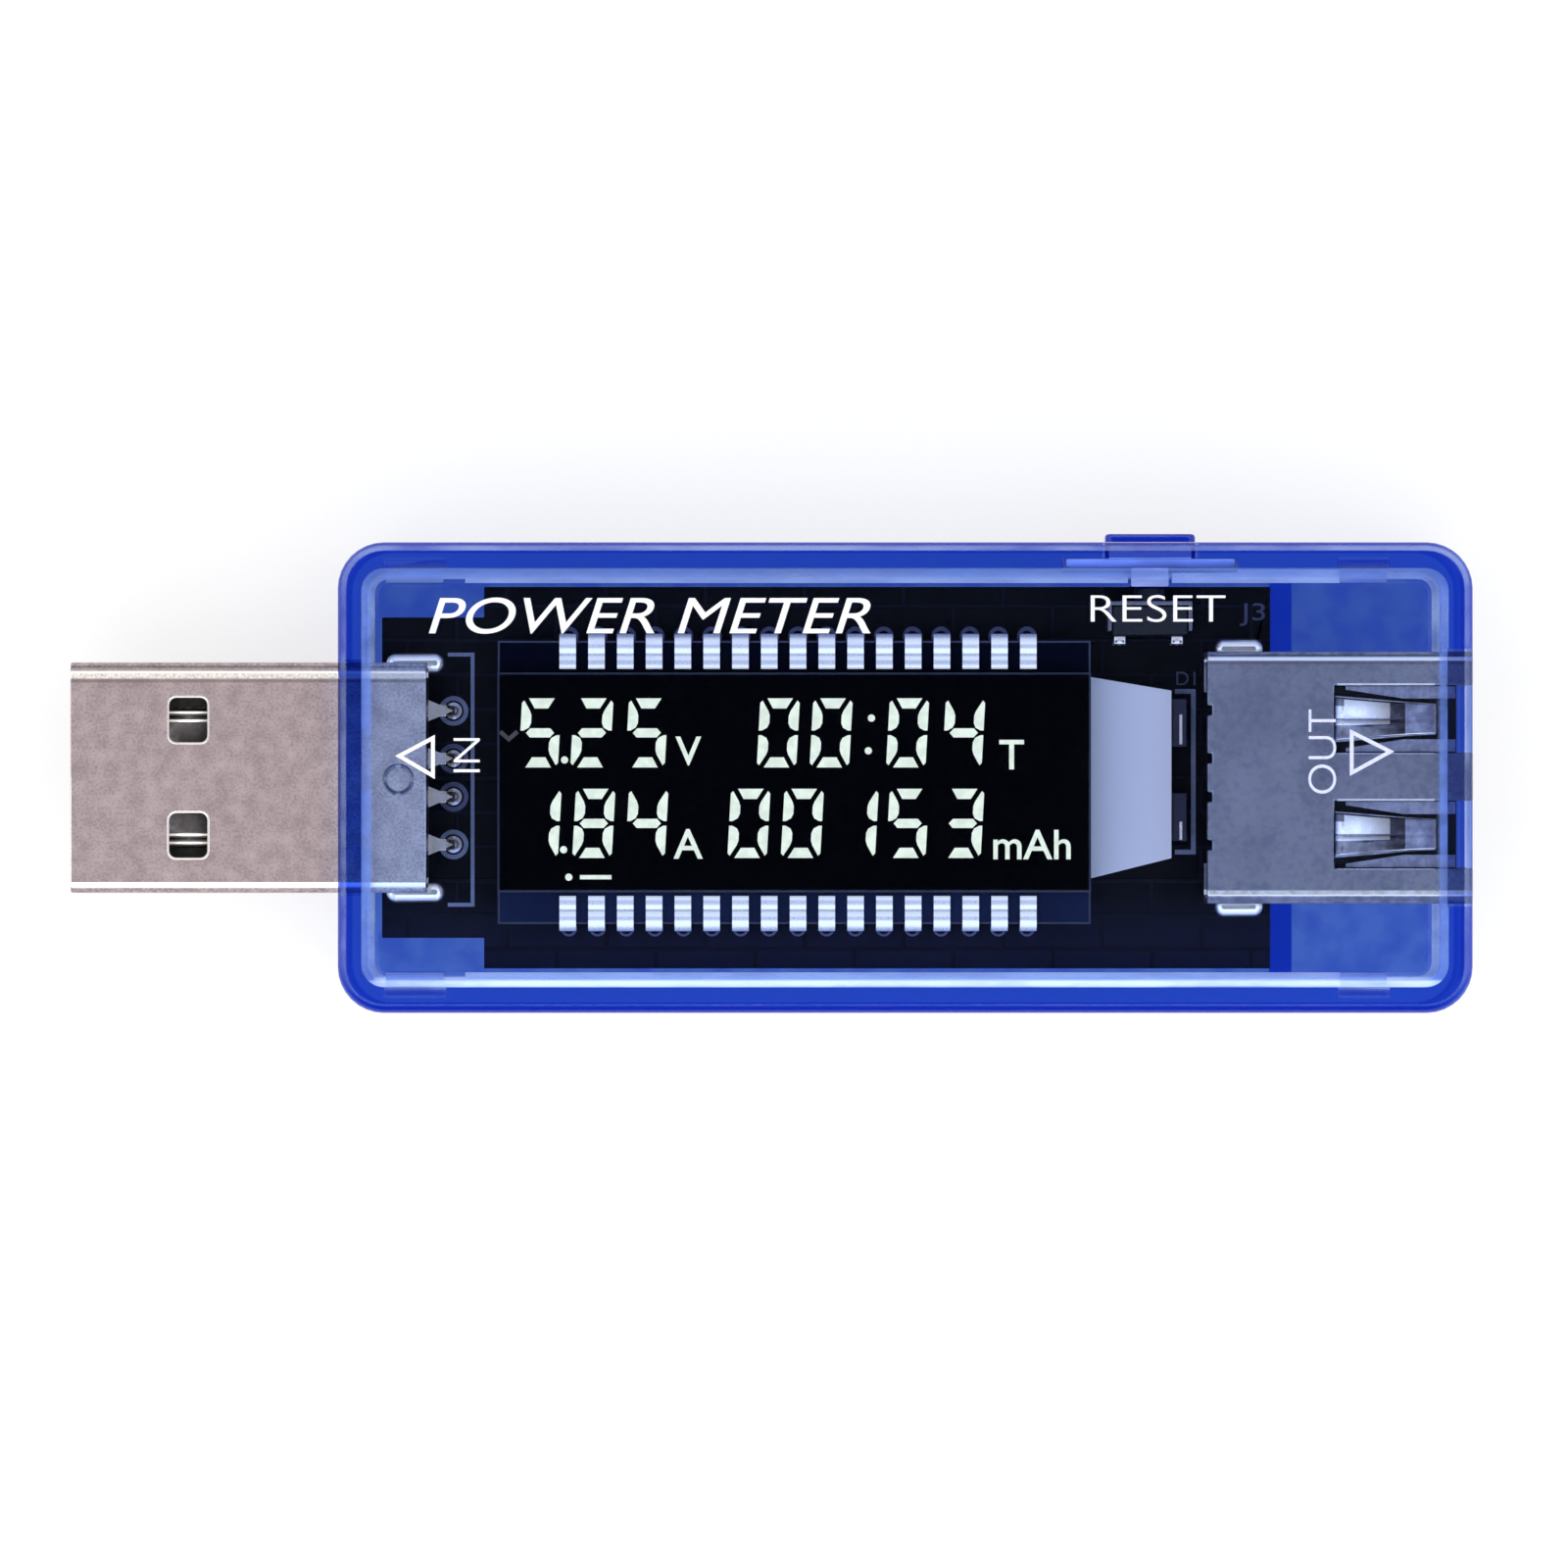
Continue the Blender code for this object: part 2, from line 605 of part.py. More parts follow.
def build_switch_plunger():
    collar_y = SWITCH_Y[1] - FIT
    axis_point = (BUTTON_X, BUTTON_Z)
    shape = bmesh.new()
    add_rod(shape, axis_point, PLUNGER_COLLAR_RADIUS, collar_y - PLUNGER_COLLAR, collar_y, axis=1)
    origin = (BUTTON_X, collar_y, BUTTON_Z)
    plunger = add_part("reset_switch_plunger", shape, "black_plastic", origin, smooth=True)
    tip = bmesh.new()
    inside = collar_y - PLUNGER_COLLAR / 2
    add_rod(tip, axis_point, PLUNGER_RADIUS, inside, STEM_END_Y - FIT, axis=1)
    combine(plunger, add_helper("plunger_tip", tip), "UNION")


def build_switch_dome():
    """The snap dome: a turned profile, stood up to face +Y."""
    shares = [step / DOME_STEPS for step in range(DOME_STEPS + 1)]
    under = [(DOME_RADIUS * share, DOME_RISE * (1 - share**2)) for share in shares]
    profile = [(x, z + DOME_SHEET) for x, z in under] + under[::-1]
    shape = bmesh.new()
    verts = [shape.verts.new((x, 0, z)) for x, z in profile]
    for first, second in zip(verts, verts[1:]):
        shape.edges.new((first, second))
    dome = add_part("reset_switch_dome", shape, "steel", smooth=True)
    turn = dome.modifiers.new("turn", "SCREW")
    turn.axis = "Z"
    turn.steps = ROUND_SIDES
    turn.render_steps = ROUND_SIDES
    turn.use_merge_vertices = True
    turn.merge_threshold = TOLERANCE
    turn.use_smooth_shade = True
    dome.rotation_euler = (-math.pi / 2, 0, 0)
    dome.location = (BUTTON_X, SWITCH_BORE_Y + FIT, BUTTON_Z)


def build_switch_terminals():
    for index, x in enumerate(TERMINAL_X, start=1):
        path = (
            (SWITCH_Y[0] - FIT, TERMINAL_Z),
            (TERMINAL_Y, TERMINAL_Z),
            (TERMINAL_Y, LEAD_END),
        )
        shape = bmesh.new()
        low = x - TERMINAL_HALF_WIDTH
        high = x + TERMINAL_HALF_WIDTH
        add_prism(shape, ribbon(path, SWITCH_SHEET), low, high, axis=0)
        origin = (x, TERMINAL_Y, TERMINAL_Z)
        add_part(f"reset_switch_terminal_{index}", shape, "tin", origin)


# Circuit board.


def board_holes():
    """One oblong hole for each soldered lead."""
    shape = bmesh.new()
    middle_z = (BOARD_LOW + BOARD_TOP) / 2
    depth = BOARD_THICKNESS + 2 * PAST

    def hole(x, y, size_x, size_y):
        size = (size_x + 2 * FIT, size_y + 2 * FIT, depth)
        add_middle_box(shape, (x, y, middle_z), size)

    leg_y = PIN_OUTER_Y - PIN_SHEET / 2
    for index in range(PIN_COUNT):
        x = PIN_FIRST_X + index * PIN_PITCH
        for side in (1, -1):
            hole(x, DISPLAY_Y + side * leg_y, PIN_LEG_WIDTH, PIN_SHEET)
    for y in CONTACT_Y:
        for x in (PLUG_TAIL_X, SOCKET_TAIL_X):
            hole(x, y, CONTACT_THICKNESS, CONTACT_WIDTH * TAIL_SHARE)
    for x in TERMINAL_X:
        hole(x, TERMINAL_Y, 2 * TERMINAL_HALF_WIDTH, SWITCH_SHEET)
    for width, leg in ((PLUG_WIDTH, PLUG_LEG_X), (SOCKET_WIDTH, SOCKET_LEG_X)):
        for side in (1, -1):
            hole((leg[0] + leg[1]) / 2, side * (width - SHEET) / 2, leg[1] - leg[0], SHEET)
    return add_helper("board_holes", shape)


def build_board():
    half_outline = (
        (BOARD_LEFT, BOARD_TONGUE_HALF_WIDTH),
        (BOARD_TONGUE_X, BOARD_TONGUE_HALF_WIDTH),
        (BOARD_TONGUE_X, BOARD_HALF_WIDTH),
        (BOARD_RIGHT, BOARD_HALF_WIDTH),
    )
    mirrored = [(x, -y) for x, y in half_outline[::-1]]
    shape = bmesh.new()
    add_prism(shape, [*half_outline, *mirrored], BOARD_LOW, BOARD_TOP, axis=2)
    board = add_part("circuit_board", shape, "board", (0, 0, BOARD_TOP))
    combine(board, board_holes(), "DIFFERENCE")


# Connectors.


def sheet_tube(name, x_range, width, z_range, corner):
    """A folded sheet-metal shell, open at both ends."""
    shape = bmesh.new()
    low = (x_range[0], -width / 2, z_range[0])
    high = (x_range[1], width / 2, z_range[1])
    add_rounded_box(shape, low, high, corner, axis=0)
    ends = [face for face in shape.faces if abs(face.normal.x) > FACES_ENDWAYS]
    bmesh.ops.delete(shape, geom=ends, context="FACES_ONLY")
    origin = (x_range[0], 0, sum(z_range) / 2)
    tube = add_part(name, shape, "nickel", origin, smooth=True)
    skin = tube.modifiers.new("sheet", "SOLIDIFY")
    skin.thickness = SHEET
    skin.offset = -1.0
    skin.use_even_offset = True
    return tube


def shell_legs(name, width, leg_x):
    """The two legs that hold a connector's shell in the board, in line with its sides."""
    shape = bmesh.new()
    inset = FIT / 5  # keeps the legs' faces off the shell's own
    low = (leg_x[0], width / 2 - SHEET + inset, LEAD_END)
    high = (leg_x[1], width / 2 - inset, LEG_TOP)
    add_mirrored_boxes(shape, low, high)
    return add_helper(name, shape)


def channels(name, low_x, high_x, middle_z):
    """Slots along X that hold the four contacts."""
    shape = bmesh.new()
    size = (high_x - low_x, CONTACT_WIDTH + 2 * FIT, CONTACT_THICKNESS + 2 * FIT)
    for y in CONTACT_Y:
        add_middle_box(shape, ((low_x + high_x) / 2, y, middle_z), size)
    return add_helper(name, shape)


def build_contacts(name, path, start_x, end_x):
    """Four bent strips that end in narrower tails in the board."""
    for index, y in enumerate(CONTACT_Y, start=1):
        shape = bmesh.new()
        half = CONTACT_WIDTH / 2
        verts = add_prism(shape, ribbon(path, CONTACT_THICKNESS), y - half, y + half, axis=1)
        narrow(verts, start_x, end_x, TAIL_SHARE, y)
        add_part(f"{name}_{index}", shape, "gold", (path[0][0], y, path[0][1]))


def build_plug_shell():
    shell = sheet_tube(
        "plug_shell", (PLUG_TIP, PLUG_REAR), PLUG_WIDTH, (PLUG_LOW, PLUG_HIGH), PLUG_CORNER
    )
    windows = bmesh.new()
    half_x, half_y = (side / 2 for side in WINDOW_SIZE)
    for y in (WINDOW_Y, -WINDOW_Y):
        low = (WINDOW_X - half_x, y - half_y, PLUG_LOW - PAST)
        high = (WINDOW_X + half_x, y + half_y, PLUG_HIGH + PAST)
        add_rounded_box(windows, low, high, WINDOW_CORNER, axis=2)
    combine(shell, add_helper("plug_windows", windows), "DIFFERENCE")
    hole = bmesh.new()
    add_rod(hole, ROUND_HOLE, ROUND_HOLE_RADIUS, PLUG_HIGH - PAST, PLUG_HIGH + PAST, axis=2)
    combine(shell, add_helper("plug_round_hole", hole), "DIFFERENCE")
    combine(shell, shell_legs("plug_legs", PLUG_WIDTH, PLUG_LEG_X), "UNION")


def build_plug_inside():
    """The insulator, a tongue with a solid rear block, and the contacts in its slots."""
    low_z = PLUG_LOW + SHEET + FIT
    high_z = PLUG_HIGH - SHEET - FIT
    half = PLUG_WIDTH / 2 - PLUG_CORNER - SHEET / 2
    outline = (
        (PLUG_TONGUE_TIP, low_z),
        (PLUG_REAR, low_z),
        (PLUG_REAR, high_z),
        (PLUG_BLOCK_X, high_z),
        (PLUG_BLOCK_X, PLUG_TONGUE_HIGH),
        (PLUG_TONGUE_TIP, PLUG_TONGUE_HIGH),
    )
    shape = bmesh.new()
    add_prism(shape, outline, -half, half, axis=1)
    insulator = add_part("plug_insulator", shape, "white_plastic", (PLUG_REAR, 0, low_z))
    slots = channels("plug_channels", PLUG_CONTACT_TIP - FIT, PLUG_REAR + PAST, PLUG_CONTACT_Z)
    combine(insulator, slots, "DIFFERENCE")
    bend = 4 * CONTACT_THICKNESS
    path = (
        (PLUG_CONTACT_TIP, PLUG_CONTACT_Z),
        (PLUG_TAIL_X - bend / 2, PLUG_CONTACT_Z),
        (PLUG_TAIL_X, PLUG_CONTACT_Z - bend),
        (PLUG_TAIL_X, LEAD_END),
    )
    build_contacts("plug_contact", path, PLUG_REAR, PLUG_TAIL_X)


def socket_notches():
    """What is cut from the socket's shell: spring slots, room for the contacts' tails, and
    a small notch over each contact at the rear."""
    slots = bmesh.new()
    for y in SPRING_Y:
        half = SPRING_SLOT / 2
        low = (SPRING_ROOT_X, y - half, SOCKET_LOW - PAST)
        add_box(slots, low, (SOCKET_MOUTH + PAST, y + half, SOCKET_HIGH + PAST))
    tails = bmesh.new()
    tail_half = CONTACT_Y[0] + CONTACT_WIDTH
    low = (SOCKET_REAR - PAST, -tail_half, SOCKET_LOW - PAST)
    add_box(tails, low, (SOCKET_BLOCK_X[0], tail_half, SOCKET_LOW + 2 * SHEET))
    notches = bmesh.new()
    depth, width = REAR_NOTCH
    for y in CONTACT_Y:
        low = (SOCKET_REAR - PAST, y - width / 2, SOCKET_HIGH - PAST)
        add_box(notches, low, (SOCKET_REAR + depth, y + width / 2, SOCKET_HIGH + PAST))
    return (
        add_helper("spring_slots", slots),
        add_helper("tail_gap", tails),
        add_helper("rear_notches", notches),
    )


def spring_tongues():
    """The bent tongues in the slots, on both broad faces."""
    shape = bmesh.new()
    half = SPRING_WIDTH / 2
    for face_z, inwards in ((SOCKET_HIGH, -1), (SOCKET_LOW, 1)):
        level = face_z + inwards * SHEET / 2
        path = (
            (SPRING_ROOT_X - 2 * SHEET, level),
            (SPRING_ROOT_X + SHEET, level),
            (SPRING_CREST_X, level + inwards * SPRING_DEPTH),
            (SPRING_TIP_X, level + inwards * SPRING_DEPTH / 2),
        )
        outline = ribbon(path, SHEET - FIT)
        for y in SPRING_Y:
            verts = add_prism(shape, outline, y - half, y + half, axis=1)
            narrow(verts, SPRING_ROOT_X, SPRING_TIP_X, SPRING_TIP_SHARE, y)
    return add_helper("spring_tongues", shape)


def build_socket_shell():
    x_range = (SOCKET_REAR, SOCKET_MOUTH)
    z_range = (SOCKET_LOW, SOCKET_HIGH)
    shell = sheet_tube("socket_shell", x_range, SOCKET_WIDTH, z_range, SOCKET_CORNER)
    for helper in socket_notches():
        combine(shell, helper, "DIFFERENCE")
    combine(shell, spring_tongues(), "UNION")
    combine(shell, shell_legs("socket_legs", SOCKET_WIDTH, SOCKET_LEG_X), "UNION")


def build_socket_inside():
    """The insulator, a rear block with a tongue, and the contacts under the tongue."""
    half = SOCKET_WIDTH / 2 - SOCKET_CORNER - SHEET
    low_z = SOCKET_LOW + SHEET + FIT
    high_z = SOCKET_HIGH - SHEET - FIT
    block = bmesh.new()
    add_box(block, (SOCKET_BLOCK_X[0], -half, low_z), (SOCKET_BLOCK_X[1], half, high_z))
    origin = (SOCKET_BLOCK_X[0], 0, low_z)
    insulator = add_part("socket_insulator", block, "white_plastic", origin)
    tongue = bmesh.new()
    low = (SOCKET_BLOCK_X[1] - PAST, -SOCKET_TONGUE_HALF_WIDTH, SOCKET_TONGUE_LOW)
    add_box(tongue, low, (SOCKET_TONGUE_TIP, SOCKET_TONGUE_HALF_WIDTH, SOCKET_TONGUE_HIGH))
    combine(insulator, add_helper("socket_tongue", tongue), "UNION")
    slots = channels(
        "socket_channels", SOCKET_BLOCK_X[0] - PAST, SOCKET_CONTACT_TIP + FIT, SOCKET_CONTACT_Z
    )
    combine(insulator, slots, "DIFFERENCE")
    bow_x = SOCKET_CONTACT_TIP - SOCKET_BOW_BACK
    path = (
        (SOCKET_CONTACT_TIP, SOCKET_CONTACT_Z),
        (bow_x + SOCKET_BOW_HALF, SOCKET_CONTACT_Z),
        (bow_x, SOCKET_CONTACT_Z - SOCKET_CONTACT_BOW),
        (bow_x - SOCKET_BOW_HALF, SOCKET_CONTACT_Z),
        (SOCKET_TAIL_X, SOCKET_CONTACT_Z),
        (SOCKET_TAIL_X, LEAD_END),
    )
    build_contacts("socket_contact", path, SOCKET_BLOCK_X[0], SOCKET_TAIL_X)


# Display and back light.


def build_layer(name, x_range, half_width, low_z, thickness, material):
    """One flat sheet of the display's stack."""
    shape = bmesh.new()
    low = (x_range[0], DISPLAY_Y - half_width, low_z)
    high = (x_range[1], DISPLAY_Y + half_width, low_z + thickness)
    add_box(shape, low, high)
    add_part(name, shape, material, (sum(x_range) / 2, DISPLAY_Y, low_z))


def build_display():
    inset = (DISPLAY_X[0] + POLARISER_INSET, DISPLAY_X[1] - POLARISER_INSET)
    film_half = FRONT_GLASS_HALF_WIDTH - POLARISER_INSET
    rear_half = REAR_GLASS_HALF_WIDTH
    front_half = FRONT_GLASS_HALF_WIDTH
    build_layer("rear_polariser", inset, film_half, REAR_POLARISER_LOW, POLARISER, "polariser")
    build_layer("rear_glass", DISPLAY_X, rear_half, REAR_GLASS_LOW, GLASS, "glass")
    build_layer("front_glass", DISPLAY_X, front_half, FRONT_GLASS_LOW, GLASS, "glass")
    build_layer("front_polariser", inset, film_half, FRONT_POLARISER_LOW, POLARISER, "polariser")


def build_backlight():
    right = DISPLAY_X[1]
    sheet_x = (LIGHT_GUIDE_LEFT, right - 2 * POLARISER_INSET)
    half = LIGHT_GUIDE_HALF_WIDTH
    build_layer("backlight_reflector", sheet_x, half, REFLECTOR_LOW, REFLECTOR, "white_plastic")
    outline = (
        (LIGHT_GUIDE_LEFT, DISPLAY_Y - half),
        (right, DISPLAY_Y - half),
        (right, WEDGE_START_Y[0]),
        (WEDGE_END, WEDGE_END_Y[0]),
        (WEDGE_END, WEDGE_END_Y[1]),
        (right, WEDGE_START_Y[1]),
        (right, DISPLAY_Y + half),
        (LIGHT_GUIDE_LEFT, DISPLAY_Y + half),
    )
    shape = bmesh.new()
    add_prism(shape, outline, GUIDE_LOW, GUIDE_LOW + LIGHT_GUIDE, axis=2)
    add_part("light_guide", shape, "acrylic", (WEDGE_END, DISPLAY_Y, GUIDE_LOW))
    for index, y in enumerate(LED_Y, start=1):
        build_led(f"backlight_led_{index}", y)


def build_led(name, y):
    """A side-firing LED with a shallow cup in the face towards the light guide."""
    length, width, height = LED_SIZE
    low = Vector((LED_X, y - width / 2, ON_BOARD))
    shape = bmesh.new()
    add_box(shape, low, low + Vector(LED_SIZE))
    led = add_part(name, shape, "black_plastic", (LED_X, y, ON_BOARD))
    cup = bmesh.new()
    cup_low = low + Vector((-PAST, 2 * LED_RIM, LED_RIM))
    cup_high = low + Vector((LED_RIM, width - 2 * LED_RIM, height - LED_RIM))
    add_box(cup, cup_low, cup_high)
    combine(led, add_helper(f"{name}_cup", cup), "DIFFERENCE")


def build_pin_row(name, side):
    """Clips that grip the rear glass's edge, each with a leg in the board, and the bead of
    clear resin that holds the row together."""
    jaw_low = REAR_GLASS_LOW - LAYER_GAP / 2 - PIN_SHEET
    jaw_high = REAR_GLASS_HIGH + LAYER_GAP / 2 + PIN_SHEET
    web_y = PIN_OUTER_Y - PIN_SHEET
    clip = (
        (PIN_TIP_Y, jaw_high - PIN_SHEET),
        (web_y, jaw_high - PIN_SHEET),
        (web_y, jaw_low + PIN_SHEET),
        (PIN_LOWER_JAW_Y, jaw_low + PIN_SHEET),
        (PIN_LOWER_JAW_Y, jaw_low),
        (PIN_OUTER_Y, jaw_low),
        (PIN_OUTER_Y, jaw_high),
        (PIN_TIP_Y, jaw_high),
    )
    outline = [(DISPLAY_Y + side * y, z) for y, z in clip]
    inset = PIN_SHEET / 10  # keeps the legs' faces off the clips' own
    leg_middle_y = DISPLAY_Y + side * (web_y + PIN_OUTER_Y) / 2
    leg_middle_z = (LEAD_END + jaw_high - PIN_SHEET) / 2
    leg_size = (PIN_LEG_WIDTH, PIN_SHEET - inset, jaw_high - PIN_SHEET - LEAD_END)
    clips = bmesh.new()
    legs = bmesh.new()
    for index in range(PIN_COUNT):
        x = PIN_FIRST_X + index * PIN_PITCH
        add_prism(clips, outline, x - PIN_CLIP_WIDTH / 2, x + PIN_CLIP_WIDTH / 2, axis=0)
        add_middle_box(legs, (x, leg_middle_y, leg_middle_z), leg_size)
    origin = (PIN_FIRST_X, DISPLAY_Y + side * PIN_OUTER_Y, REAR_GLASS_HIGH)
    row = add_part(name, clips, "tin", origin)
    combine(row, add_helper(f"{name}_legs", legs), "UNION")
    bead = bmesh.new()
    bead_y = [DISPLAY_Y + side * (PIN_TIP_Y + 2 * PIN_SHEET), DISPLAY_Y + side * (web_y - FIT)]
    low = (PIN_FIRST_X - PIN_PITCH / 2, min(bead_y), jaw_high - PIN_SHEET + LAYER_GAP / 4)
    high = (PIN_LAST_X + PIN_PITCH / 2, max(bead_y), jaw_high - LAYER_GAP)
    add_box(bead, low, high)
    combine(row, add_helper(f"{name}_bead", bead), "UNION")


# Parts on the back of the board.


def build_chip(name, middle, size, leads, pitch):
    """A moulded chip under the board, with bent leads along both sides."""
    x, y = (value * MM for value in middle)
    width = size[1] * MM
    height = size[2] * MM
    high_z = UNDER_BOARD - CHIP_STANDOFF
    middle_z = high_z - height / 2
    foot_z = UNDER_BOARD - LEAD_SHEET / 2
    body = bmesh.new()
    add_middle_box(body, (x, y, middle_z), Vector(size) * MM)
    chip = add_part(name, body, "black_plastic", (x, y, high_z))
    half_lead = LEAD_SHARE * pitch * MM / 2
    shape = bmesh.new()
    for side in (1, -1):
        path = (
            (y + side * (width / 2 - LEAD_SHEET), middle_z),
            (y + side * (width / 2 + 2 * LEAD_SHEET), middle_z),
            (y + side * (width / 2 + 3 * LEAD_SHEET), foot_z),
            (y + side * (width / 2 + LEAD_REACH), foot_z),
        )
        for index in range(leads):
            lead_x = x + (index - (leads - 1) / 2) * pitch * MM
            outline = ribbon(path, LEAD_SHEET)
            add_prism(shape, outline, lead_x - half_lead, lead_x + half_lead, axis=0)
    combine(chip, add_helper(f"{name}_leads", shape), "UNION")


def build_two_ended(name, middle, size, material):
    """A chip resistor or capacitor: a block with a raised metal cap on each end."""
    x, y = (value * MM for value in middle)
    length, width, height = (value * MM for value in size)
    half = length / 2
    inner = half - length * END_CAP_SHARE
    high = UNDER_BOARD
    low = UNDER_BOARD - height
    right_half = (
        (inner, high - END_CAP_STEP),
        (inner, high),
        (half, high),
        (half, low),
        (inner, low),
        (inner, low + END_CAP_STEP),
    )
    left_half = [(-offset, z) for offset, z in right_half[::-1]]
    outline = [(x + offset, z) for offset, z in (*right_half, *left_half)]
    shape = bmesh.new()
    add_prism(shape, outline, y - width / 2, y + width / 2, axis=1)
    add_part(name, shape, material, (x, y, high))


def build_crystal():
    x, y = (value * MM for value in CRYSTAL_MIDDLE)
    half_x, half_y, height = CRYSTAL_SIZE[0] * MM / 2, CRYSTAL_SIZE[1] * MM / 2, CRYSTAL_SIZE[2] * MM
    low = (x - half_x, y - half_y, UNDER_BOARD - height)
    high = (x + half_x, y + half_y, UNDER_BOARD)
    shape = bmesh.new()
    add_rounded_box(shape, low, high, CRYSTAL_CORNER, axis=2)
    add_part("clock_crystal", shape, "steel", (x, y, UNDER_BOARD), smooth=True)


def build_back_of_board():
    for chip in CHIPS:
        build_chip(*chip)
    for part in TWO_ENDED:
        build_two_ended(*part)
    build_crystal()


def build_meter():
    build_case()
    build_button()
    build_switch_body()
    build_switch_frame()
    build_switch_plunger()
    build_switch_dome()
    build_switch_terminals()
    build_board()
    build_plug_shell()
    build_plug_inside()
    build_socket_shell()
    build_socket_inside()
    build_display()
    build_backlight()
    build_pin_row("display_pins_upper", 1)
    build_pin_row("display_pins_lower", -1)
    build_back_of_board()


build_meter()
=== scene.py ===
"""Looks of the USB power meter: finer pieces, materials, light and camera round the CAD frame.

Places and sizes are in metres in the CAD's own frame, or in millimetres where a name ends in
_MM or _mm. +X runs from the plug to the socket, +Y to the button and +Z to the display.
"""

import itertools
import math

import bmesh
import bpy
from mathutils import Matrix, Vector


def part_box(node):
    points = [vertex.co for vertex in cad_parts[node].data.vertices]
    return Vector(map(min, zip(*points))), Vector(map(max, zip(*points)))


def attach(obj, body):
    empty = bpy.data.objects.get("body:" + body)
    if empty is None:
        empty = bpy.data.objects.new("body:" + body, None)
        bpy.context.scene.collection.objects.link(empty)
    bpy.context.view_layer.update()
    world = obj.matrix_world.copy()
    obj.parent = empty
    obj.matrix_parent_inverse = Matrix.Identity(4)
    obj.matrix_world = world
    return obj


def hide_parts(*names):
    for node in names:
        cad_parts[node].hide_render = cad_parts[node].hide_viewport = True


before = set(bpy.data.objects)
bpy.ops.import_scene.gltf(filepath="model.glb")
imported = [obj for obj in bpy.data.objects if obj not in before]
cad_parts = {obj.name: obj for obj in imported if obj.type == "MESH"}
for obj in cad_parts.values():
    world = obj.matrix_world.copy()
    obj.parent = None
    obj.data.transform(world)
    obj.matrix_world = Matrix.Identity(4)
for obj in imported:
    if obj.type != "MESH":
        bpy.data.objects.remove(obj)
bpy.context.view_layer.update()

MM = 0.001
TOLERANCE = 0.002 * MM  # corners of the CAD mesh closer than this are one corner
FLAT_ANGLE = math.radians(0.6)  # faces that meet at less than this are one face
SHARP = math.radians(35)
NORMAL_WEIGHT = 90
MITRE_LIMIT = 0.3  # keeps a very sharp corner of a line from growing a spike
RING_SIDES = 28
TAB_JOINT_SIDES = 24
WHITE = (1.0, 1.0, 1.0)
BLACK = (0.0, 0.0, 0.0)

# Camera: straight down on a square of VIEW_SIZE at the height VIEW_PLANE_Z.
VIEW_MIDDLE = (-6.28 * MM, -0.33 * MM)
VIEW_SIZE = 81.6 * MM
VIEW_PLANE_Z = 8.6 * MM
CAMERA_HEIGHT = 620 * MM
SENSOR_MM = 36.0
CLIP_RANGE = (0.01, 10.0)

# Stage.
FLOOR_HALF = 1.5
FLOOR_DROP = 0.02 * MM
PAPER_COLOUR = (0.86, 0.86, 0.86)
PAPER_GLOW = 1.12  # light from the paper and the backdrop, so that both look white
PAPER_GLOW_SHARE = 0.62
SKY_COLOUR = (0.8, 0.8, 0.8)
SKY_OVERHEAD = (0.975, 0.994, 1.0, 0.0)  # direction from and to, strength from and to
SKY_HEIGHT = (0.0, 0.85, 1.0, 2.1)
SKY_SIDE = (-0.5, 0.75, 1.25, 0.4)
CLEAR_LAYERS = 32  # how many clear surfaces a ray may pass

# Places taken from the CAD.
COVER_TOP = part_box("top_cover")[1].z
PLUG_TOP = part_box("plug_shell")[1].z
SOCKET_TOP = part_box("socket_shell")[1].z
SOCKET_CORE_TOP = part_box("socket_insulator")[1].z
LED_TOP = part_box("backlight_led_1")[1].z
FILM_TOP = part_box("front_polariser")[1].z
BOARD_UNDER, ON_BOARD = (corner.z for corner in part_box("circuit_board"))
FRONT_LOW, FRONT_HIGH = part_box("front_glass")
REAR_LOW, REAR_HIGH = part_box("rear_glass")
DISPLAY_MIDDLE_Y = (FRONT_LOW.y + FRONT_HIGH.y) / 2

# Blue plastic. ABSORPTION is the light that it takes away along each metre.
CASE_ABSORPTION = 330.0
BUTTON_ABSORPTION = 1700.0
PLASTIC_VOLUME_TINT = (0.064, 0.36, 0.88)
PLASTIC_IOR = 1.49
# A face attribute of frost and painted light: the scatter, 1 where an inner fillet gets a painted
# highlight, and which side gets painted shade.
FROST_AND_PAINTED_LIGHT = "finish"
EDGE_SLOPES = (0.62, 0.85, 0.985, 1.0)  # the normal's Z where an outer edge gets a painted highlight
EDGE_SIDES = (-0.35, 0.4)  # the normal's Y where an outer edge begins to get its painted highlight
EDGE_SHARES = (0.72, 0.25)  # how much of that painted highlight the case and the button get
FILLET_SLOPES = (0.02, 0.25, 0.93, 1.0)  # the normal's Z on the inner fillets with a painted highlight
GRAZING_RANGE = (0.5, 0.97)  # how far a face turns away before it gets deeper blue painted shade
GRAZING_TINT = (0.10, 0.20, 0.72)
BEVEL_SLOPES = (0.9, 0.995)  # the largest part of the normal, on and off a rounded edge with painted shade
BEVEL_TINT = (0.45, 0.58, 0.90)
FROST_COLOUR = (0.44, 0.56, 0.92)
LIP_COLOUR = (0.78, 0.82, 0.95)
BRIGHT_LIP_Y = (-10.60 * MM, -10.40 * MM)  # the lips' frost gets a painted highlight below these
BUTTON_GLOWS = (1.6, 1.6)  # painted light of the frost, away from the brightly painted lips and on them
LIP_GLOWS = (0.10, 0.8)
FLOOR_SIDES = (-6 * MM, 6 * MM)  # where the painted shade on the case's floor changes strength
FLOOR_SHADES = ((0.19, 0.32, 0.72), (0.13, 0.23, 0.60))  # painted shade towards -Y, then towards +Y
FLOOR_BAND_MM = (19.2, 19.3, 20.4, 20.5)  # the X of a band of deeper painted shade across the floor
FLOOR_BAND_SHADE = (0.02, 0.07, 0.58)

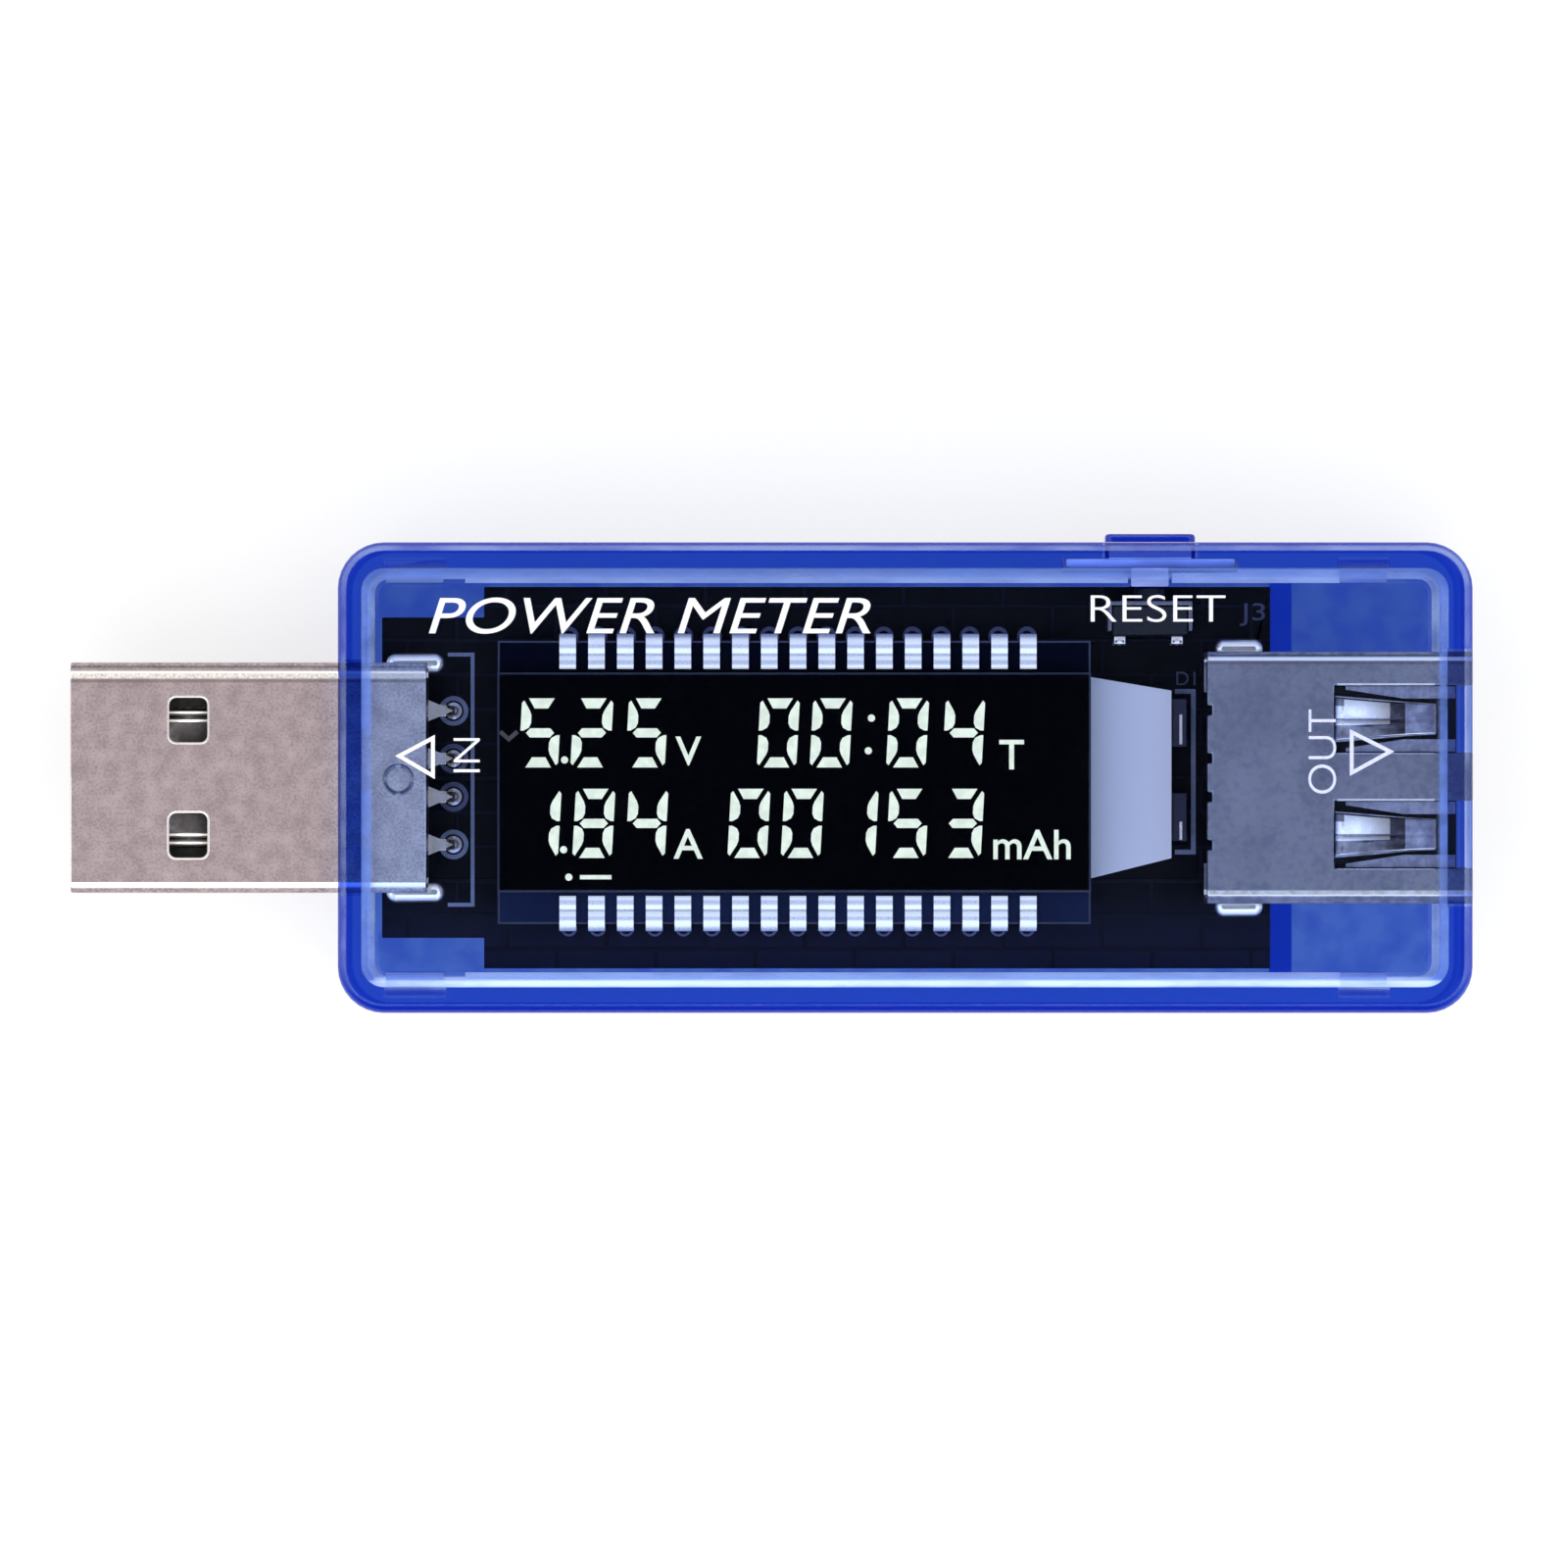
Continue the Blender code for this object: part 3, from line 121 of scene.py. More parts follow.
# Case and button.
CAVITY_HALF_X = 28.4 * MM
CAVITY_HALF_Y = 11.05 * MM
SCATTERING_HEIGHTS = ((7.4 * MM, 0.9), (8.5 * MM, 0.48))  # lips' and tabs' tops, frost with painted light
FLOOR_Z = 1.4 * MM
FLAT = 0.9  # the normal's Z of a face that lies flat
NEAR = 0.06 * MM
CLEAR = (0.0, 0.0, 0.0)  # no frost and no painted light: a plain face
# An inner fillet with a painted highlight, then faces whose front, back or part of the back gets painted
# shade.
FILLET = (0.0, 1.0, 0.0)
FRONT_SHADED = (0.0, 0.0, 1.0)
BACK_SHADED = (0.0, 0.0, 2.0)
BACK_PART_SHADED = (0.0, 0.0, 1.6)
STEM_Y = 12.1 * MM
BUTTON_FROST = ((10.9 * MM, 0.5), (11.65 * MM, 0.85), (STEM_Y, 0.33))  # up to this Y, scatter
BUTTON_EDGE_MM = 0.06

# Plated metal.
METAL_EDGE_SLOPES = (0.78, 0.9, 0.992, 0.9995)  # the normal's Z on the rounded edges with a painted highlight
# The colour of the painted highlight on the rounded edges.
METAL_EDGE_HIGHLIGHT = (1.0, 0.98, 0.98)
GRAIN_SHARES = (0.75, 0.25)  # of fine and of coarse mottling
PIT_DEPTH_MM = 0.006
# The plug's sheet is darker where it stands out of the case; the springs get painted shade where they
# dip into the socket.
PLUG_FRONT_TINT = (0.62, 0.565, 0.60)
SPRING_END_SHADE = (0.22, 0.2, 0.22)
# Painted shade in the creases: its colour and its strength.
PAINTED_CREASE_SHADE = (0.16, 0.12, 0.12)
PAINTED_CREASE_STRENGTH = 0.55
# Painted light given off by the rounded edges, and the strength of painted highlight lines.
EDGE_GLOW = 0.22
LINE_STRENGTH = 1.8
# The colour of the painted light that glints and edges give off.
GLINT_COLOUR = (1.0, 0.9, 0.74)
# Y positions of painted highlight lines and of painted shade in creases along the sheets' tops.
PLUG_LINES_MM = ((5.13, 5.22, 5.48, 5.58),)
PLUG_CREASES_MM = ((4.92, 4.99, 5.06, 5.14),)
SOCKET_LINES_MM = ((6.05, 6.12, 6.24, 6.3), (-6.16, -6.09, -5.90, -5.83))
SOCKET_CREASES_MM = ((5.86, 5.92, 5.98, 6.05), (-6.32, -6.27, -6.21, -6.16))
# Painted highlight lines along the two ridges of each window spring.
RIDGE_LINES_MM = tuple(
    tuple(sorted(side * (middle + offset) for offset in (-0.08, -0.03, 0.03, 0.08)))
    for middle in (3.4, 2.97)
    for side in (1, -1)
)
NO_EDGES = (0.0, 0.0)

# Pieces that keep a CAD node's shape, with rounded edges.
PACKAGES = ("microcontroller", "memory_chip", "voltage_regulator")
CHIPS = ("current_shunt", "buffer_capacitor", "input_capacitor", "pull_up_resistor", "led_resistor")
ONE = ("",)
KEPT_SHAPES = (  # node, piece, what fills their {}, material, slot, rounding in mm
    ("plug_shell", "plug_sheet", ONE, "nickel", "connector_nickel", 0.05),
    ("socket_shell", "socket_sheet", ONE, "socket", "connector_nickel", 0.08),
    ("{}_insulator", "{}_core", ("plug", "socket"), "black", "black_plastic", 0.08),
    ("plug_contact_{}", "plug_finger_{}", "1234", "gold", "contact_gold", 0.03),
    ("socket_contact_{}", "socket_finger_{}", "1234", "gold", "contact_gold", 0.03),
    ("circuit_board", "board_laminate", ONE, "board", "board_mask", 0.04),
    ("clock_crystal", "clock_crystal_can", ONE, "steel", "switch_steel", 0.08),
    ("reset_switch_body", "switch_housing", ONE, "black", "black_plastic", 0.08),
    ("reset_switch_frame", "switch_frame_sheet", ONE, "spring", "switch_steel", 0.04),
    ("reset_switch_dome", "switch_dome_sheet", ONE, "steel", "switch_steel", 0.01),
    ("reset_switch_terminal_{}", "switch_leg_{}", "12", "tin", "tinned_lead", 0.04),
    ("{}", "{}_package", PACKAGES, "black", "black_plastic", 0.03),
    ("{}", "{}_body", CHIPS, "ceramic", "chip_ceramic", 0.02),
    ("front_glass", "front_glass_sheet", ONE, "front_glass", "display_glass", 0.03),
    ("rear_glass", "rear_glass_sheet", ONE, "rear_glass", "display_glass", 0.03),
    ("{}_polariser", "{}_polariser_sheet", ("front", "rear"), "polariser", "polariser_film", 0.03),
    ("backlight_reflector", "backlight_reflector_sheet", ONE, "film", "reflector_film", 0.03),
    ("light_guide", "light_guide_sheet", ONE, "acrylic", "clear_acrylic", 0.03),
    ("backlight_led_{}", "side_led_{}", "12", "led", "white_plastic", 0.05),
)

# Plug: two windows with bent springs behind them, and a round hole.
WINDOW_MIDDLE_MM = (-37.27, 3.0)
WINDOW_HALF_MM = (1.05, 1.225)
WINDOW_CORNER_MM = 0.4
WINDOW_RIM_MM = (0.07, 0.03)  # spread, then rise
WINDOW_SPRING_X_MM = (-38.6, -35.9)
WINDOW_SPRING_YZ_MM = (  # the springs' bent section: outer edge, two ridges, inner slope
    (3.62, 7.0), (3.50, 8.05), (3.40, 8.30), (3.28, 8.12), (3.17, 7.86), (3.07, 8.12),
    (2.97, 8.30), (2.84, 8.08), (2.5, 7.85), (2.0, 7.62), (1.4, 7.45),
)
WINDOW_SHEET = 0.05 * MM
# Black plates as painted shade beside the window springs.
WINDOW_SHADE_MM = ((-38.6, 3.66), (-35.9, 3.66), (-35.9, 4.6), (-38.6, 4.6))
WINDOW_SHADE_Z_MM = (6.95, 7.1)
HOLE_MIDDLE_MM = (-26.35, -0.1)
HOLE_RADIUS_MM = 0.75
HOLE_RIM_MM = (0.13, 0.06)
HOLE_PLATE_SCALE = 1.3
HOLE_PLATE_DEPTHS_MM = (0.34, 0.16)
RIM_SINK = 0.03 * MM

# Socket: two spring tongues in slots.
SPRING_MIDDLES_MM = (3.05, -2.95)
SPRING_PROFILE_MM = (  # across a spring from +Y to -Y: share of its half width, then height
    (1.0, -0.04), (0.92, 0.03), (0.6, 0.08), (0.25, 0.07), (0.02, 0.0), (-0.06, -0.05),
    (-0.16, 0.06), (-0.3, 0.09), (-0.42, -0.02), (-0.7, 0.0), (-0.92, 0.02), (-1.0, -0.05),
)
SPRING_STATIONS_MM = (  # along a spring: X, half width, depth, how much of the profile shows
    (22.35, 1.14, 0.0, 0.2), (22.8, 1.10, -0.06, 1.0), (24.0, 0.99, -0.27, 1.0),
    (25.2, 0.90, -0.50, 0.8), (25.75, 0.86, -0.62, 0.4), (26.0, 0.84, -0.58, 0.2),
    (26.25, 0.82, -0.63, 0.2), (27.5, 0.76, -0.31, 0.2),
)
SPRING_LIFT = 0.05 * MM
SPRING_SHEET = 0.04 * MM
SPRING_END_X = 26.1 * MM
# Plain sheet, a painted highlight, painted shade at the far end, a painted highlight line on the low
# edge.
SPRING_SKINS = ("spring", "glint", "slot_plate", "rim")
PLAIN_SKIN, GLINT_SKIN, END_SKIN, LOW_EDGE_SKIN = range(4)
GLINT_END_X = 25.2 * MM
GLINT_BANDS_MM = ((0.1, 0.85), (-0.3, -0.1))  # the +Y half and the fine ridge, with a painted highlight
SLOT_PLATE_MM = ((22.9, 1.7), (22.9, 1.52), (25.9, 1.06), (28.6, 1.06), (28.6, 1.7))
SLOT_PLATE_RISE_MM = (0.005, 0.03)

# Raised lines: painted highlights along the slots' cut edges, bright towards +Y, the board's
# legend, and painted highlights on the lamps' tops.
HALF_LINE = 0.02 * MM  # how far a line stands above and below its surface
SILK_HIGH = ON_BOARD + HALF_LINE
SILK_LOW = ON_BOARD - HALF_LINE
LINES_MM = (  # piece, material, slot, surface, line width, corners of each line
    (
        "socket_slot_highlights", "rim", "connector_nickel", SOCKET_TOP, 0.11,
        (((22.45, 4.85), (27.5, 4.85)), ((22.45, -1.15), (27.5, -1.15))),
    ),
    (
        "socket_slot_faint_highlights", "soft_rim", "connector_nickel", SOCKET_TOP, 0.07,
        (((22.45, 1.25), (27.5, 1.25)), ((22.45, -4.75), (27.5, -4.75))),
    ),
    (
        "legend_plug_outline", "legend", "board_mask", ON_BOARD, 0.2,
        (((-23.9, 6.45), (-22.6, 6.45), (-22.6, -6.66), (-23.9, -6.66)),),
    ),
    (
        "legend_led_outline", "legend", "board_mask", ON_BOARD, 0.25,
        (((14.2, 4.52), (15.17, 4.52), (15.17, -3.9), (14.2, -3.9)),),
    ),
    (
        "led_top_highlights", "rim", "white_plastic", LED_TOP, 0.14,
        (((14.48, 1.75), (14.48, 3.3)), ((14.48, -3.25), (14.48, -2.3))),
    ),
)

# Solder. A joint's steps are shares of its radius and of its height.
JOINT_STEPS = ((1.0, -0.02), (0.98, 0.10), (0.72, 0.32), (0.48, 0.62), (0.34, 0.9), (0.16, 1.0))
TAB_JOINT_STEPS_MM = ((1.0, 0.0), (0.94, 0.12), (0.78, 0.26), (0.5, 0.34), (0.2, 0.36))
TAB_JOINTS_MM = ((-25.6, 6.0, 3.1), (17.55, 6.75, 2.6))  # X, Y, length
TAB_JOINT_WIDTHS_MM = (1.1, 1.5)  # on the board, then under it
TAIL_Y_MM = (3.5, 1.0, -1.0, -3.5)
# The rings of tails beyond this get a painted highlight.
OUTER_TAIL_Y_MM = 3.0
PLUG_TAIL_X_MM = -23.6
TAIL_X_MM = (PLUG_TAIL_X_MM, 16.6)
TAIL_RING_MM = (0.78, 0.54)  # outer radius, then inner
TAIL_PLATE_MM = ((-24.85, -0.55), (-23.85, -0.14), (-23.55, 0.0), (-23.85, 0.14), (-24.85, 0.55))
TAIL_PLATE_Z = (6.42 * MM, 6.62 * MM)
TAIL_EDGE = 0.08 * MM
JOINTS_MM = (  # X positions, Y positions, radius and height, 1 on the board or -1 under it
    (TAIL_X_MM, TAIL_Y_MM, (0.45, 0.4), 1),
    (TAIL_X_MM, TAIL_Y_MM, (0.6, 0.75), -1),
    ((14.66,), (3.95, 1.9, -1.1, -3.1), (0.26, 0.8), 1),
    ((11.13, 11.47, 14.13, 14.47), (7.14,), (0.2, 0.75), 1),
    ((11.3, 14.3), (7.1,), (0.6, 0.7), -1),
)
PIN_JOINT_MM = (0.5, 0.7)
PIN_RINGS_MM = ((1, 0.52, 0.30), (-1, 0.42, 0.30))  # side, outer radius, inner radius

# Display pins.
PIN_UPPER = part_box("display_pins_upper")
PIN_MIDDLE_Y = (PIN_UPPER[1].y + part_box("display_pins_lower")[0].y) / 2
PIN_COUNT = 17
PIN_PITCH = 1.5 * MM
PIN_WIDTH = 0.86 * MM
PIN_LEG_WIDTH = 0.5 * MM
PIN_SHEET = 0.2 * MM
PIN_LEG_Y = 7.65 * MM
PIN_NARROW_Z = 6.0 * MM
PIN_PATH_MM = (  # a clip's centre line from its tip to its leg: Y from the middle, then Z
    (5.95, 7.80), (6.02, 7.83), (6.50, 7.84), (6.58, 7.80), (6.64, 7.77), (6.70, 7.80),
    (6.80, 7.86), (7.05, 7.89), (7.30, 7.88), (7.50, 7.80), (7.61, 7.66), (7.65, 7.45),
    (7.65, 6.2), (7.65, 5.6), (7.65, 2.45),
)

# Display digits. X positions are from the front glass's left edge, Y from its middle.
DIGIT_SIZE_MM = (2.05, 3.6)
DIGIT_STROKE_MM = 0.53
DIGIT_GAP_MM = 0.12
DIGIT_SHOULDER_MM = 0.12
DIGIT_SLANT = 0.055
SEGMENTS_OF = {
    "0": "abcdef", "1": "bc", "2": "abged", "3": "abgcd", "4": "fgbc", "5": "afgcd", "8": "abcdefg",
}
DIGIT_ROWS_MM = (  # lower edge, digits, their left edges
    (0.78, "5250004", (1.1, 3.8, 6.66, 13.5, 16.25, 20.23, 23.15)),
    (-3.93, "18400153", (1.1, 3.9, 6.66, 11.97, 14.75, 17.6, 20.23, 23.1)),
)
DOTS_MM = ((3.50, 1.17), (3.45, -3.50), (19.47, 3.35), (19.31, 1.65), (3.72, -4.93))
DOT_RADIUS = 0.19 * MM
DOT_SIDES = 14
DASH_MM = ((4.3, -4.93), (5.94, -4.93))
DIM_MARK_MM = ((0.15, 2.65), (0.6, 2.25), (1.05, 2.65))
MARK_WIDTH = 0.22 * MM
INK_HEIGHT = 0.01 * MM
UNITS_MM = (  # text, left edge, lower edge, letter height
    ("V", 9.3, 0.92, 1.55), ("T", 26.1, 0.7, 1.6), ("A", 9.2, -3.95, 1.6), ("mAh", 25.7, -3.98, 1.6),
)
UNIT_WEIGHT = 0.02 * MM
GLASS_RIM_INSET = 0.05 * MM
GLASS_RIM_WIDTH = 0.1 * MM
GLASS_RIM_RISE = 0.012 * MM

# Lettering. A capital of the built-in font is CAPITAL_SHARE of its size.
CAPITAL_SHARE = 0.729
LETTER_HEIGHT = 0.005 * MM
PRINT_Z = COVER_TOP + 0.006 * MM
UPWARDS = math.pi / 2
THIN = -0.025 * MM
TEXTS_MM = (  # piece, text, ink, capital height, left edge, lower edge, Z, options
    ("legend_d1", "D1", "dim_legend", 0.75, 14.2, 4.85, SILK_HIGH, {}),
    ("legend_j3", "J3", "dim_legend", 0.95, 17.7, 8.25, SILK_HIGH, {"stretch": 1.4}),
    (
        "print_title", "POWER METER", "cover_ink", 1.95, -24.9, 7.47, PRINT_Z,
        {"shear": 0.25, "stretch": 1.28},
    ),
    ("print_reset", "RESET", "cover_ink", 1.5, 9.35, 8.05, PRINT_Z, {"stretch": 1.33, "weight": THIN}),
    ("print_in", "IN", "cover_ink", 1.5, -22.0, 0.1, PRINT_Z, {"turn": UPWARDS, "weight": THIN}),
    ("print_out", "OUT", "soft_ink", 1.55, 22.3, -0.95, PRINT_Z, {"turn": UPWARDS, "weight": THIN}),
)
ARROW_STROKE = 0.2 * MM
ARROWS_MM = (  # piece, ink, corners
    ("print_arrow_in", "cover_ink", ((-26.2, 1.12), (-24.45, 2.05), (-24.45, 0.1))),
    ("print_arrow_out", "soft_ink", ((23.1, 2.35), (25.1, 1.35), (23.1, 0.25))),
)


# Materials.


def metres(values_mm):
    return tuple(value * MM for value in values_mm)


class Shader:
    """Builds the node tree of a new material, or of the world that it is given."""

    def __init__(self, name, world=None):
        self.owner = world or bpy.data.materials.new(name)
        self.owner.use_nodes = True
        self.tree = self.owner.node_tree
        self.tree.nodes.clear()

    def add(self, kind, settings=None, **inputs):
        """Adds a node. Inputs are values or other nodes' outputs, with _ for a space."""
        node = self.tree.nodes.new(f"ShaderNode{kind}")
        for name, value in (settings or {}).items():
            setattr(node, name, value)
        for name, value in inputs.items():
            self.feed(node.inputs[name.replace("_", " ")], value)
        return node

    def feed(self, socket, value):
        if isinstance(value, bpy.types.Node):
            value = value.outputs[0]
        if isinstance(value, bpy.types.NodeSocket):
            self.tree.links.new(value, socket)
            return
        if isinstance(value, tuple) and len(value) == 3 and socket.type == "RGBA":
            value = (*value, 1.0)
        socket.default_value = value

    def feed_all(self, node, values, indices=(0, 1, 2)):
        for index, value in zip(indices, values):
            self.feed(node.inputs[index], value)

    def split(self, vector):
        parts = self.add("SeparateXYZ", Vector=vector).outputs
        return parts["X"], parts["Y"], parts["Z"]

    def place(self, space="Object"):
        return self.split(self.add("TexCoord").outputs[space])

    def geometry(self, name):
        return self.add("NewGeometry").outputs[name]

    def noise(self, size_mm, detail=2.0, roughness=0.5, stretch=(1, 1, 1)):
        """Noise whose grains are about size_mm across; stretch makes them longer."""
        scale = tuple(1 / (size_mm * MM * share) for share in stretch)
        place = self.add("Mapping", Vector=self.add("TexCoord").outputs["Object"], Scale=scale)
        noise = self.add("TexNoise", Vector=place, Scale=1.0, Detail=detail, Roughness=roughness)
        return noise.outputs["Fac"]

    def remap(self, value, low, high, to_low=0.0, to_high=1.0):
        node = self.add("MapRange", {"interpolation_type": "SMOOTHSTEP"}, Value=value)
        ends = ("From Min", "From Max", "To Min", "To Max")
        for name, number in zip(ends, (low, high, to_low, to_high)):
            node.inputs[name].default_value = number
        return node.outputs["Result"]

    def band(self, value, limits):
        """1 where a value is in the middle of the limits, fading to 0 outside."""
        low, full, fall, high = limits
        return self.times(self.remap(value, low, full), self.remap(value, fall, high, 1.0, 0.0))

    def math(self, operation, *values):
        node = self.add("Math", {"operation": operation})
        self.feed_all(node, values)
        return node.outputs[0]

    def times(self, *values):
        return self.math("MULTIPLY", *values)

    def highest(self, *values):
        return self.math("MAXIMUM", *values)

    def minus(self, *values):
        return self.math("SUBTRACT", *values)

    def size(self, value):
        """A value without its sign."""
        return self.math("ABSOLUTE", value)

    def blend(self, factor, first, second, mode="MIX"):
        """A colour between two colours."""
        node = self.add("Mix", {"data_type": "RGBA", "blend_type": mode})
        self.feed_all(node, (factor, first, second), (0, 6, 7))
        return node.outputs[2]

    def mix(self, factor, first, second):
        """A surface between two surfaces."""
        node = self.add("MixShader")
        self.feed_all(node, (factor, first, second))
        return node.outputs[0]

    def bump(self, height, depth_mm, strength=1.0):
        return self.add("Bump", Height=height, Distance=depth_mm * MM, Strength=strength)

    def finish(self, surface, **volume):
        self.add("OutputMaterial", Surface=surface, **volume)
        return self.owner

    def coated(self, **inputs):
        """Ends a material that has one principled surface."""
        return self.finish(self.add("BsdfPrincipled", **inputs))


def clear_tint(shader, fillet, shaded, behind):
    """The tint of light that passes a clear face, all painted shade: deeper at a grazing angle,
    on a rounded edge and on a shaded side."""
    x, y, _ = shader.place()
    shade_side = shader.size(shader.minus(shader.minus(shaded, 1.0), behind))
    shade = shader.remap(shade_side, 0.0, 1.0, 1.0, 0.0)
    # Painted shade on the case's floor, lighter towards -Y, with cloudy patches and a deeper band.
    floor_tint = shader.blend(shader.remap(y, *FLOOR_SIDES), *FLOOR_SHADES)
    cloud = shader.remap(shader.noise(1.6, 3.0), 0.35, 0.7, 0.0, 0.4)
    deeper = shader.highest(cloud, shader.band(x, metres(FLOOR_BAND_MM)))
    floor_tint = shader.blend(deeper, floor_tint, FLOOR_BAND_SHADE)
    away = shader.add("LayerWeight", Blend=0.5).outputs["Facing"]
    grazing = shader.remap(away, *GRAZING_RANGE)
    across, along, upward = (shader.size(part) for part in shader.split(shader.geometry("Normal")))
    turned = shader.highest(shader.highest(across, along), upward)
    bevel = shader.times(shader.remap(turned, *BEVEL_SLOPES, 1.0, 0.0), shader.minus(1.0, fillet))
    open_tint = shader.blend(grazing, WHITE, GRAZING_TINT)
    open_tint = shader.blend(bevel, open_tint, BEVEL_TINT)
    return shader.blend(shade, open_tint, floor_tint)


def frost(shader, scatter, fillet, lit_fillet, glows):
    """The pale surface of frosted faces and the painted highlight of lit fillets, whiter
    towards -Y; both give off painted light.
    """
    _, y, _ = shader.place()
    bright = shader.remap(y, *BRIGHT_LIP_Y, 1.0, 0.0)
    bright_fillet = shader.times(shader.times(fillet, bright), lit_fillet)
    whiter = shader.highest(shader.remap(scatter, 0.2, 0.6), bright_fillet)
    tint = shader.blend(whiter, FROST_COLOUR, shader.blend(bright, LIP_COLOUR, WHITE))
    glow = shader.times(shader.remap(bright, 0.0, 1.0, *glows), shader.highest(scatter, bright_fillet))
    return shader.add(
        "BsdfPrincipled",
        Base_Color=tint,
        Roughness=0.6,
        Specular_IOR_Level=0.2,
        Emission_Color=tint,
        Emission_Strength=glow,
    )


def case_plastic(name, absorption, edge_share, glows):
    """Clear blue plastic. A face attribute says, face by face, how much light the face
    scatters as frost, whether it is an inner fillet with a painted highlight, and whether its
    front (1) or its back (2) gets painted shade. The outer edges get edge_share of the painted
    highlight that they could."""
    shader = Shader(name)
    # Face by face: frost, the flag of a painted highlight on a fillet, and painted shade.
    finish = shader.add("Attribute", {"attribute_name": FROST_AND_PAINTED_LIGHT}).outputs["Vector"]
    scatter, fillet, shaded = shader.split(finish)
    behind = shader.geometry("Backfacing")
    _, along, upward = shader.split(shader.geometry("Normal"))
    slope = shader.size(upward)

    # Painted highlight: the outer edges turn pale towards +Y, and towards -Y they lose their
    # reflection as painted shade.
    lit_side = shader.remap(along, *EDGE_SIDES)
    outer = shader.times(shader.band(slope, EDGE_SLOPES), shader.minus(1.0, behind))
    edge_in_painted_shade = shader.times(outer, shader.minus(1.0, lit_side))
    edge = shader.times(shader.times(outer, lit_side), edge_share)
    lit = shader.add("Mix")
    shader.feed_all(lit, (fillet, edge, shader.band(slope, FILLET_SLOPES)), (0, 2, 3))

    # The clear surface mirrors a little, the same from inside the plastic as from outside.
    scuffs = shader.remap(shader.noise(2.2, 3.0), 0.45, 0.75, 0.02, 0.10)
    ripple = shader.bump(shader.noise(3.0, 1.0), 0.01, 0.25)
    gloss = shader.add("BsdfGlossy", Color=WHITE, Roughness=scuffs, Normal=ripple)
    clear = shader.add("BsdfTransparent", Color=clear_tint(shader, fillet, shaded, behind))
    facing_ior = shader.remap(behind, 0.0, 1.0, PLASTIC_IOR, 1 / PLASTIC_IOR)
    mirror = shader.add("Fresnel", IOR=facing_ior, Normal=ripple)
    # Towards -Y the outer edges mirror less, as painted shade.
    mirror = shader.times(mirror, shader.minus(1.0, edge_in_painted_shade))
    surface = shader.mix(mirror, clear, gloss)

    # Painted highlight on the outer edges and the lit fillets, in streaks; frost in patches.
    streak = shader.remap(shader.noise(1.6, 3.0, stretch=(3, 1, 1)), 0.3, 0.7, 0.3, 0.75)
    caught = shader.times(lit.outputs[0], streak)
    patches = shader.remap(shader.noise(0.9, 3.0, stretch=(4, 1, 1)), 0.35, 0.65, 0.8, 1.0)
    scatter = shader.times(scatter, patches)
    pale = frost(shader, scatter, fillet, lit.outputs[0], glows)
    return shader.finish(
        shader.mix(shader.highest(caught, scatter), surface, pale),
        Volume=shader.add("VolumeAbsorption", Color=PLASTIC_VOLUME_TINT, Density=absorption),
    )


def metal(
    name, light, dark, rough, grain_mm=0.4, pitted=0.5, metallic=1.0,
    darkened=None, glint=0.0, edges=(1.0, 1.0), lines=(), creases=(),
):
    """Plated sheet: mottled colour, patchy gloss, a fine pitted surface and rounded edges with a
    painted highlight, whose strengths towards -Y and +Y are edges. The darkening along X gives
    where the sheet is fully darker, where it is not, and its tint there: painted shade on the
    springs where they dip into the socket, and a darker plug where it stands out of the case.
    glint is a painted highlight that the faces which look up give off. lines and creases are
    the Y positions of painted highlight lines and of painted shade lines along the sheet's top."""
    shader = Shader(name)
    x, y, _ = shader.place()
    _, _, upward = shader.split(shader.geometry("Normal"))
    grain = shader.noise(grain_mm, 4.0, 0.65)
    noises = (grain, shader.noise(grain_mm * 6, 2.0))
    mottle = (shader.times(noise, share) for noise, share in zip(noises, GRAIN_SHARES))
    colour = shader.blend(shader.remap(shader.math("ADD", *mottle), 0.38, 0.62), dark, light)
    # Darker along X: painted shade on the springs, and a darker plug out of the case.
    if darkened is not None:
        darkest_mm, undarkened_mm, tint = darkened
        darkening = shader.blend(shader.remap(x, *metres((darkest_mm, undarkened_mm))), tint, WHITE)
        colour = shader.blend(1.0, colour, darkening, "MULTIPLY")

    # Painted highlight on the rounded edges, with strengths towards -Y and +Y.
    edge = shader.band(shader.size(upward), METAL_EDGE_SLOPES)
    edge = shader.times(edge, shader.remap(y, -MM, MM, *edges))
    # Painted highlight lines, then painted shade in creases.
    for line_mm in lines:
        strength = shader.remap(upward, 0.5, 0.9, 0.0, LINE_STRENGTH)
        edge = shader.highest(edge, shader.times(shader.band(y, metres(line_mm)), strength))
    for crease_mm in creases:
        depth = shader.remap(upward, 0.5, 0.9, 0.0, PAINTED_CREASE_STRENGTH)
        crease = shader.times(shader.band(y, metres(crease_mm)), depth)
        colour = shader.blend(crease, colour, PAINTED_CREASE_SHADE)
    colour = shader.blend(shader.math("MINIMUM", edge, 1.0), colour, METAL_EDGE_HIGHLIGHT)
    glow = shader.times(edge, shader.remap(upward, 0.0, 0.5, 0.0, EDGE_GLOW))
    gloss = shader.remap(grain, 0.3, 0.7, rough * 1.25, rough * 0.8)
    return shader.coated(
        Base_Color=colour,
        Metallic=metallic,
        Roughness=shader.times(gloss, shader.remap(edge, 0.0, 1.0, 1.0, 0.6)),
        Normal=shader.bump(shader.noise(grain_mm * 0.45, 3.0, 0.6), PIT_DEPTH_MM, pitted),
        Emission_Color=GLINT_COLOUR,
        Emission_Strength=shader.math("ADD", shader.remap(upward, 0.55, 0.95, 0.0, glint), glow),
    )


